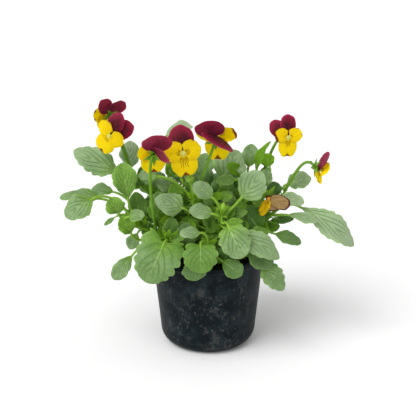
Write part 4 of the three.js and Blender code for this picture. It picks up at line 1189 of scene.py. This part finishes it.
def stalk(bloom, root):
    """An S-shaped curve from the shoot to the cup. It bends by the bloom's own sway and hook, or
    rises evenly and hooks over from behind and above. Two tiny scales sit near the hook."""
    forward = bloom_axes(bloom)[0]
    end = np.array(bloom["at"]) + forward * (CUP_BACK + 0.6)
    hook = np.array(bloom.get("hook", end - forward * 12 + (0, 0, 7)), float)
    sway = np.array(bloom.get("sway", root * 0.6 + end * 0.4), float)
    path = bend([root, sway, hook, end], np.linspace(0, 1, STALK_RINGS))
    radius = np.linspace(STALK_RADIUS + 0.15, STALK_RADIUS - 0.1, STALK_RINGS)
    parts = [tube(path, radius, 10, (0.1, 0.12, rng.random(), 0), ribs=0.1)]
    along = tangents(path)
    for k, side in SCALES:
        way = unit(along[k] + 0.45 * side * flattened((0.4, 0.3, 0.2), along[k]))
        parts.append(lancet(path[k] + 0.8 * way, way, flattened(-along[k], way), 3.4, 1.2, (0.4, 0, 0.5, 0)))
    return parts


# %% Closed buds
BUD_RINGS = 15
BUD_SIDES = 20
BUD_STALK_RINGS = 14


def bud(root, at, points, width, length):
    """An egg of five wrapped sepals: radius = width/2 sin(pi s)^0.75, swelling between five seams,
    on a short stalk that arches up a little. at is its middle, and points is the way it points."""
    way = unit(points)
    side = flattened((1, 0, 0), way)
    other = np.cross(way, side)
    s = np.linspace(0.02, 0.985, BUD_RINGS)
    turn = angles(BUD_SIDES)
    lobes = 1 + 0.1 * np.abs(np.sin(SEPALS / 2 * turn))[None, :]
    radius = width / 2 * (np.sin(np.pi * s) ** 0.75)[:, None] * lobes
    axis = np.array(at, float) + way * (length * (s - 0.5))[:, None]
    rings = axis[:, None, :] + radius[..., None] * around(turn, side, other)
    egg = part(rings, (turn / (2 * np.pi))[None, :], s[:, None], (0.6, 0, 0.3, 0))
    arch = (root + axis[0]) / 2 + (0, 0, 4)
    path = bend([root, arch, axis[2]], np.linspace(0, 1, BUD_STALK_RINGS))
    scales = [
        lancet(axis[1], unit(way + 0.5 * out), unit(out - 0.4 * way), 0.9 * length, 0.42 * width,
               (0.35, 0, 0.4, 0))
        for out in around(angles(SEPALS), side, other)
    ]
    return [egg, tube(path, STALK_RADIUS, 8, (0.4, 0, 0.4, 0)), *scales]


# %% Grow every shoot
SOIL_TOP = 86
PEG_FOOT = 76  # a stem starts in the potting mix
STEM_RADIUS = 1.8
STEM_RINGS = 25


def stem_line(shoot):
    """Controls of the stem's curve: straight up at first, then leaning over to its top."""
    x, y = shoot["root"]
    return [(x, y, SOIL_TOP), (x, y, SOIL_TOP + 16), shoot["lean"], shoot["top"]]


for name, shoot in SHOOTS.items():
    line = stem_line(shoot)
    path = np.concatenate([[(*shoot["root"], PEG_FOOT)], bend(line, np.linspace(0, 1, STEM_RINGS))])
    radius = np.linspace(STEM_RADIUS, STEM_RADIUS - 0.45, len(path))
    green = [tube(path, radius, 12, (0.1, 0.2, rng.random(), 0), ribs=0.09)]
    blades = []
    fan = fan_leaves(*shoot["fan"]) if "fan" in shoot else []
    for spec in shoot["leaves"] + fan:
        chance = rng.random()
        root, ahead = bend(line, [spec["start"], min(spec["start"] + 0.02, 1.02)])
        blades.append(blade(spec, chance))
        green.append(petiole(spec, root, chance))
        green.extend(stipule(spec, root, unit(ahead - root), chance))
    for spec in undergrowth(line, rng.random()):
        chance = rng.random()
        root = bend(line, [spec["start"]])[0]
        blades.append(blade(spec, chance, *UNDER_GRID))
        green.append(petiole(spec, root, chance, *UNDER_TUBE))
    for flower in shoot.get("blooms", []):
        bloom = BLOOMS[flower]
        root = bend(line, [bloom.get("start", 1)])[0]
        green.extend(calyx(bloom) + stalk(bloom, root))
    for at, points, width, length in shoot.get("buds", []):
        green.extend(bud(bend(line, [1])[0], at, points, width, length))
    piece(f"{name}_stems", green, STALK_GREEN, "foliage", name)
    piece(f"{name}_leaves", blades, LEAF_GREEN, "foliage", name)

# %% [markdown]
# ## The pot
# A nursery pot is one thin moulded shell: a foot with a pad and a groove, a round corner, a slanting
# wall and a rolled rim. It could be cut from cones with booleans, but they leave faces of all sizes,
# and a profile turned about the axis gives an even grid. The drain slots lift the foot at six places,
# which the profile's height can do too, as a function of the angle. So can the dents of a thin wall.

# %% Turn the pot's profile
POT_HEIGHT = 96
RIM_BAND = 5
RIM_START = 89.4  # where the outside ends and the rim begins
RIM_INSIDE = 93
WALL = 1.6
WALL_LOW = 46.7  # outer radius that the slanting wall would have at the floor
WALL_HIGH = 55.5  # and right under the rim band
CORNER = 14  # radius of the foot corner
POT_FLOOR = 3.4
POT_SIDES = 216
DRAINS = 6
DRAIN_TURN = 73  # degrees round to the first slot
DRAIN_HALF = 5.5
DRAIN_HEIGHT = 2.4
DRAIN_START = 31  # radius where the slots begin
DENT = 0.35
RIPPLE = 0.12


def wall_radius(z):
    """Outer radius of the slanting wall."""
    return WALL_LOW + (WALL_HIGH - WALL_LOW) * z / (POT_HEIGHT - RIM_BAND)


def cup(inset, top, steps, rows):
    """The wall's profile set in from the outside: round the foot corner in some steps, then up to a
    height in some rows."""
    corner = CORNER - inset
    side = wall_radius(CORNER) - inset
    turn = -np.pi / 2 * (1 - np.linspace(0, 1, steps))
    bow = np.stack([side - corner + corner * np.cos(turn), inset + corner + corner * np.sin(turn)], -1)
    z = np.linspace(bow[-1, 1], top, rows)[1:]
    return np.concatenate([bow, np.stack([wall_radius(z) - inset, z], -1)])


def drained(radius, height, turn):
    """How high the drain slots lift the foot: DRAIN_HEIGHT within DRAIN_HALF of the middle of each."""
    spacing = 360 / DRAINS
    sector = (np.degrees(turn) - DRAIN_TURN + spacing / 2) % spacing - spacing / 2
    beside = np.abs(np.radians(sector) * radius)
    slot = 1 - smooth(DRAIN_HALF - 0.6, DRAIN_HALF + 0.3, beside)
    return np.maximum(height, DRAIN_HEIGHT * slot * smooth(DRAIN_START, DRAIN_START + 1.2, radius))


foot = [(0.3, 0), (5, 0), (10.6, 0), (11, 0.1), (12.3, 1.7), (12.8, 1.8), (22.2, 1.8), (22.7, 1.7),
        (23.8, 0.1), (24.3, 0), (28, 0)]
rim = [(55.6, 90.2), (56.4, 90.9), (57, 91.3), (57.2, 92), (57.2, 93.2), (56.9, 93.5), (56.9, 93.9),
       (57.2, 94.2), (57.2, 95.2), (57, 95.7), (56.4, 96), (55.1, 96), (54.5, 95.6), (54.3, 94.8)]
outside = cup(0, RIM_START, 14, 22)
inside = cup(WALL, RIM_INSIDE, 10, 12)[::-1]
inside[:, 1] = np.maximum(inside[:, 1], POT_FLOOR)
profile = np.concatenate([foot, outside, rim, inside, [(20, POT_FLOOR), (0.3, POT_FLOOR)]])
turn = angles(POT_SIDES)
radius = profile[:, :1] + 0 * turn
height = profile[:, 1:] + 0 * turn
drained_rows = len(foot) + 12  # the foot and most of its corner
height[:drained_rows] = drained(radius, height, turn)[:drained_rows]
dent = DENT * np.sin(2 * turn + 0.6) * smooth(20, 90, height) + RIPPLE * np.sin(5 * turn + height / 23)
radius = radius + np.where(radius > 25, dent, 0)
rings = upright(radius, height, turn)
pot_part = part(rings, (turn / (2 * np.pi))[None, :], np.linspace(0, 1, len(profile))[:, None], (0, 0, 0, 0))
print("pot height:", round(float(rings[..., 2].max()), 2), "mm")


# %% [markdown]
# ## The pot's finish
# The plastic is satin black and a little cloudy. Splashes and handling leave pale smudges, specks and
# hair scratches, which thin out towards the rim. They could be painted by hand on an image, but marks
# as small as these need only the right kinds. Each kind is a noise of its own scale, kept only where it
# runs high, and the strongest of them counts.

# %% Black plastic that has stood in a nursery
SEAM_TURN = -0.93  # radians round to the mould's seam
DUST_TOP = 0.092  # metres up, where the dust ends
DUST_FULL = 0.074


def black_plastic():
    """Satin black, clouded with grey, with dusty smudges, specks and scratches that thin out under the
    rim. A scratch lies where a smooth noise crosses its middle, which it does along curves. A faint
    seam runs up the wall."""
    r = Recipe("black_plastic")
    where = r.place()
    x, y, z = r.split(where)
    squat = r.stretched(where, (1, 1, 0.7))
    blotches = r.noise(r.stretched(where, (1, 1, 0.8)), 170.0, 5.0, 0.6)
    smudges = r.noise(squat, 75.0, 3.0, 0.6)
    specks = r.noise(squat, 420.0, 2.0, 0.5)
    patches = r.noise(where, 34.0, 2.0)
    curve = r.math("ABSOLUTE", r.math("SUBTRACT", r.noise(where, 95.0, 2.0), 0.5))
    scratches = r.times(r.ramp(curve, 0.02, 0.004), r.ramp(r.noise(where, 60.0, 2.0), 0.5, 0.6))
    dust = r.times(r.ramp(blotches, 0.54, 0.7), r.ramp(patches, 0.36, 0.56, 0.1, 0.9))
    for marks in (
        r.times(r.ramp(smudges, 0.56, 0.72), 0.55),
        r.times(r.ramp(specks, 0.63, 0.74), r.ramp(patches, 0.3, 0.5)),
        r.times(scratches, 0.8),
    ):
        dust = r.math("MAXIMUM", dust, marks)
    dust = r.times(dust, r.ramp(z, DUST_TOP, DUST_FULL))
    beside = r.math("ABSOLUTE", r.math("ADD", r.math("ARCTAN2", y, x), -SEAM_TURN))
    seam = r.times(r.ramp(beside, 0.014, 0.003), r.ramp(z, 0.04, 0.06))
    colour = r.coated(
        r.mix(r.ramp(r.noise(where, 55.0, 4.0, 0.6), 0.42, 0.66), srgb(12, 21, 25), srgb(30, 40, 45)),
        (r.times(dust, 0.6), srgb(94, 92, 87)),
        (r.times(seam, 0.3), srgb(70, 72, 72)),
    )
    relief = r.math("ADD", r.times(r.noise(where, 700.0), 0.3), seam)
    return r.finish(colour, r.ramp(dust, 0.0, 0.6, 0.45, 0.85), relief, 0.00012, Specular_IOR_Level=0.07)


piece("pot_shell", [pot_part], black_plastic(), "pot_plastic", "pot")

# %% [markdown]
# ## Potting mix
# The mix is dark peat and fine bark. Its top is a disc of rings whose height is a low mound plus noise
# at two scales, and on it lie some six hundred crumbs. A crumb is a small lump of four rings of six
# points. They could be objects scattered on the disc, but here all of them are one array: a base lump,
# dented, stretched, turned and moved by arrays of random numbers.

# %% A mound with lumps
LATTICE = 64
LUMPS = ((2.2, 7, 5), (0.9, 2.5, 8))  # height, breadth and seed
SOIL_LEVEL = 83.7  # of the hollows in the middle
SOIL_RADIUS = 51.6
SOIL_INSET = 1.95  # a little more than the pot's wall
SOIL_UNDERSIDE = 3.8
SOIL_EDGE = 80
SOIL_SIDES = 144
SOIL_CENTRE = 0.4  # radius of the smallest ring


def lattice_noise(x, y, cell, seed):
    """Smooth noise: random heights on a square lattice, blended between with an S-curve."""
    heights = np.random.default_rng(seed).random((LATTICE, LATTICE))
    gx, gy = x / cell + LATTICE / 2, y / cell + LATTICE / 2
    i, j = np.floor(gx).astype(int) % (LATTICE - 1), np.floor(gy).astype(int) % (LATTICE - 1)
    a, b = smooth(0, 1, gx % 1), smooth(0, 1, gy % 1)
    low = heights[i, j] * (1 - a) + heights[i + 1, j] * a
    high = heights[i, j + 1] * (1 - a) + heights[i + 1, j + 1] * a
    return low * (1 - b) + high * b


def soil_height(x, y):
    """SOIL_LEVEL - 2 (distance / 52)^2 plus lumps, which are 7 mm broad and up to 2.2 high, and 2.5 mm
    broad and up to 0.9 high."""
    away = np.hypot(x, y) / 52
    lumps = sum(tall * lattice_noise(x, y, broad, seed) for tall, broad, seed in LUMPS)
    return SOIL_LEVEL - 2 * away**2 + lumps


turn = angles(SOIL_SIDES)
ring = np.linspace(SOIL_RADIUS, SOIL_CENTRE, 44)[:, None]
top = upright(ring, soil_height(ring * np.cos(turn), ring * np.sin(turn)), turn)
side = np.concatenate([[(SOIL_CENTRE, SOIL_UNDERSIDE)], cup(SOIL_INSET, SOIL_EDGE, 5, 5)])
wall = upright(side[:, :1], np.maximum(side[:, 1:], SOIL_UNDERSIDE), turn)
soil_parts = [part(np.concatenate([wall, top]), 0, 0, (0, 0, 0, 0))]

# %% Crumbs and flakes of bark
CRUMBS = 620
LUMP_GIRTH = np.array([0.45, 1.0, 0.95, 0.4])[:, None]
LUMP_RISE = np.array([-0.85, -0.3, 0.35, 0.8])[:, None]
LUMP_SIDES = 6

lump = upright(LUMP_GIRTH, LUMP_RISE, angles(LUMP_SIDES))
distance = SOIL_RADIUS * 0.97 * np.sqrt(rng.random(CRUMBS))
angle = 2 * np.pi * rng.random(CRUMBS)
x, y = distance * np.cos(angle), distance * np.sin(angle)
centre = np.stack([x, y, soil_height(x, y) + 0.2], axis=-1)
stretch = 0.5 + 1.5 * rng.random((CRUMBS, 3)) ** 2
axes = np.linalg.qr(rng.normal(size=(CRUMBS, 3, 3)))[0]
axes *= np.linalg.det(axes)[:, None, None]  # turns only, no mirror images
dented = lump * (0.75 + 0.5 * rng.random((CRUMBS, len(LUMP_RISE), LUMP_SIDES, 1)))
shapes = np.einsum("nrkj,nij->nrki", dented * stretch[:, None, None, :], axes) + centre[:, None, None, :]
soil_parts += [part(s, 0, 0, (rng.random(), 0, 0, 0)) for s in shapes]
print("crumbs:", CRUMBS)


# %% The colour of peat
def peat():
    """Dark brown, fibrous at a millimetre's scale, with three crumbs in ten lighter. Tint: a random
    number, which is 0 for the mix itself."""
    r = Recipe("peat")
    chance = r.tint()[0]
    grain = r.noise(r.place(), 520.0, 5.0, 0.7)
    colour = r.mix(r.ramp(grain, 0.35, 0.7), srgb(10, 11, 8), srgb(30, 28, 22))
    colour = r.mix(r.times(r.ramp(chance, 0.7, 1.0), 0.5), colour, srgb(76, 62, 46))
    return r.finish(colour, 0.95, grain, 0.0006, Specular_IOR_Level=0.15)


piece("potting_mix", soil_parts, peat(), "potting_mix", "soil")


# %% A pale floor
def pale_floor():
    """Matt and nearly white."""
    return Recipe("pale_floor").finish((0.92, 0.92, 0.92, 1), 0.9, Specular_IOR_Level=0.1)


floor_mesh.materials.append(pale_floor())
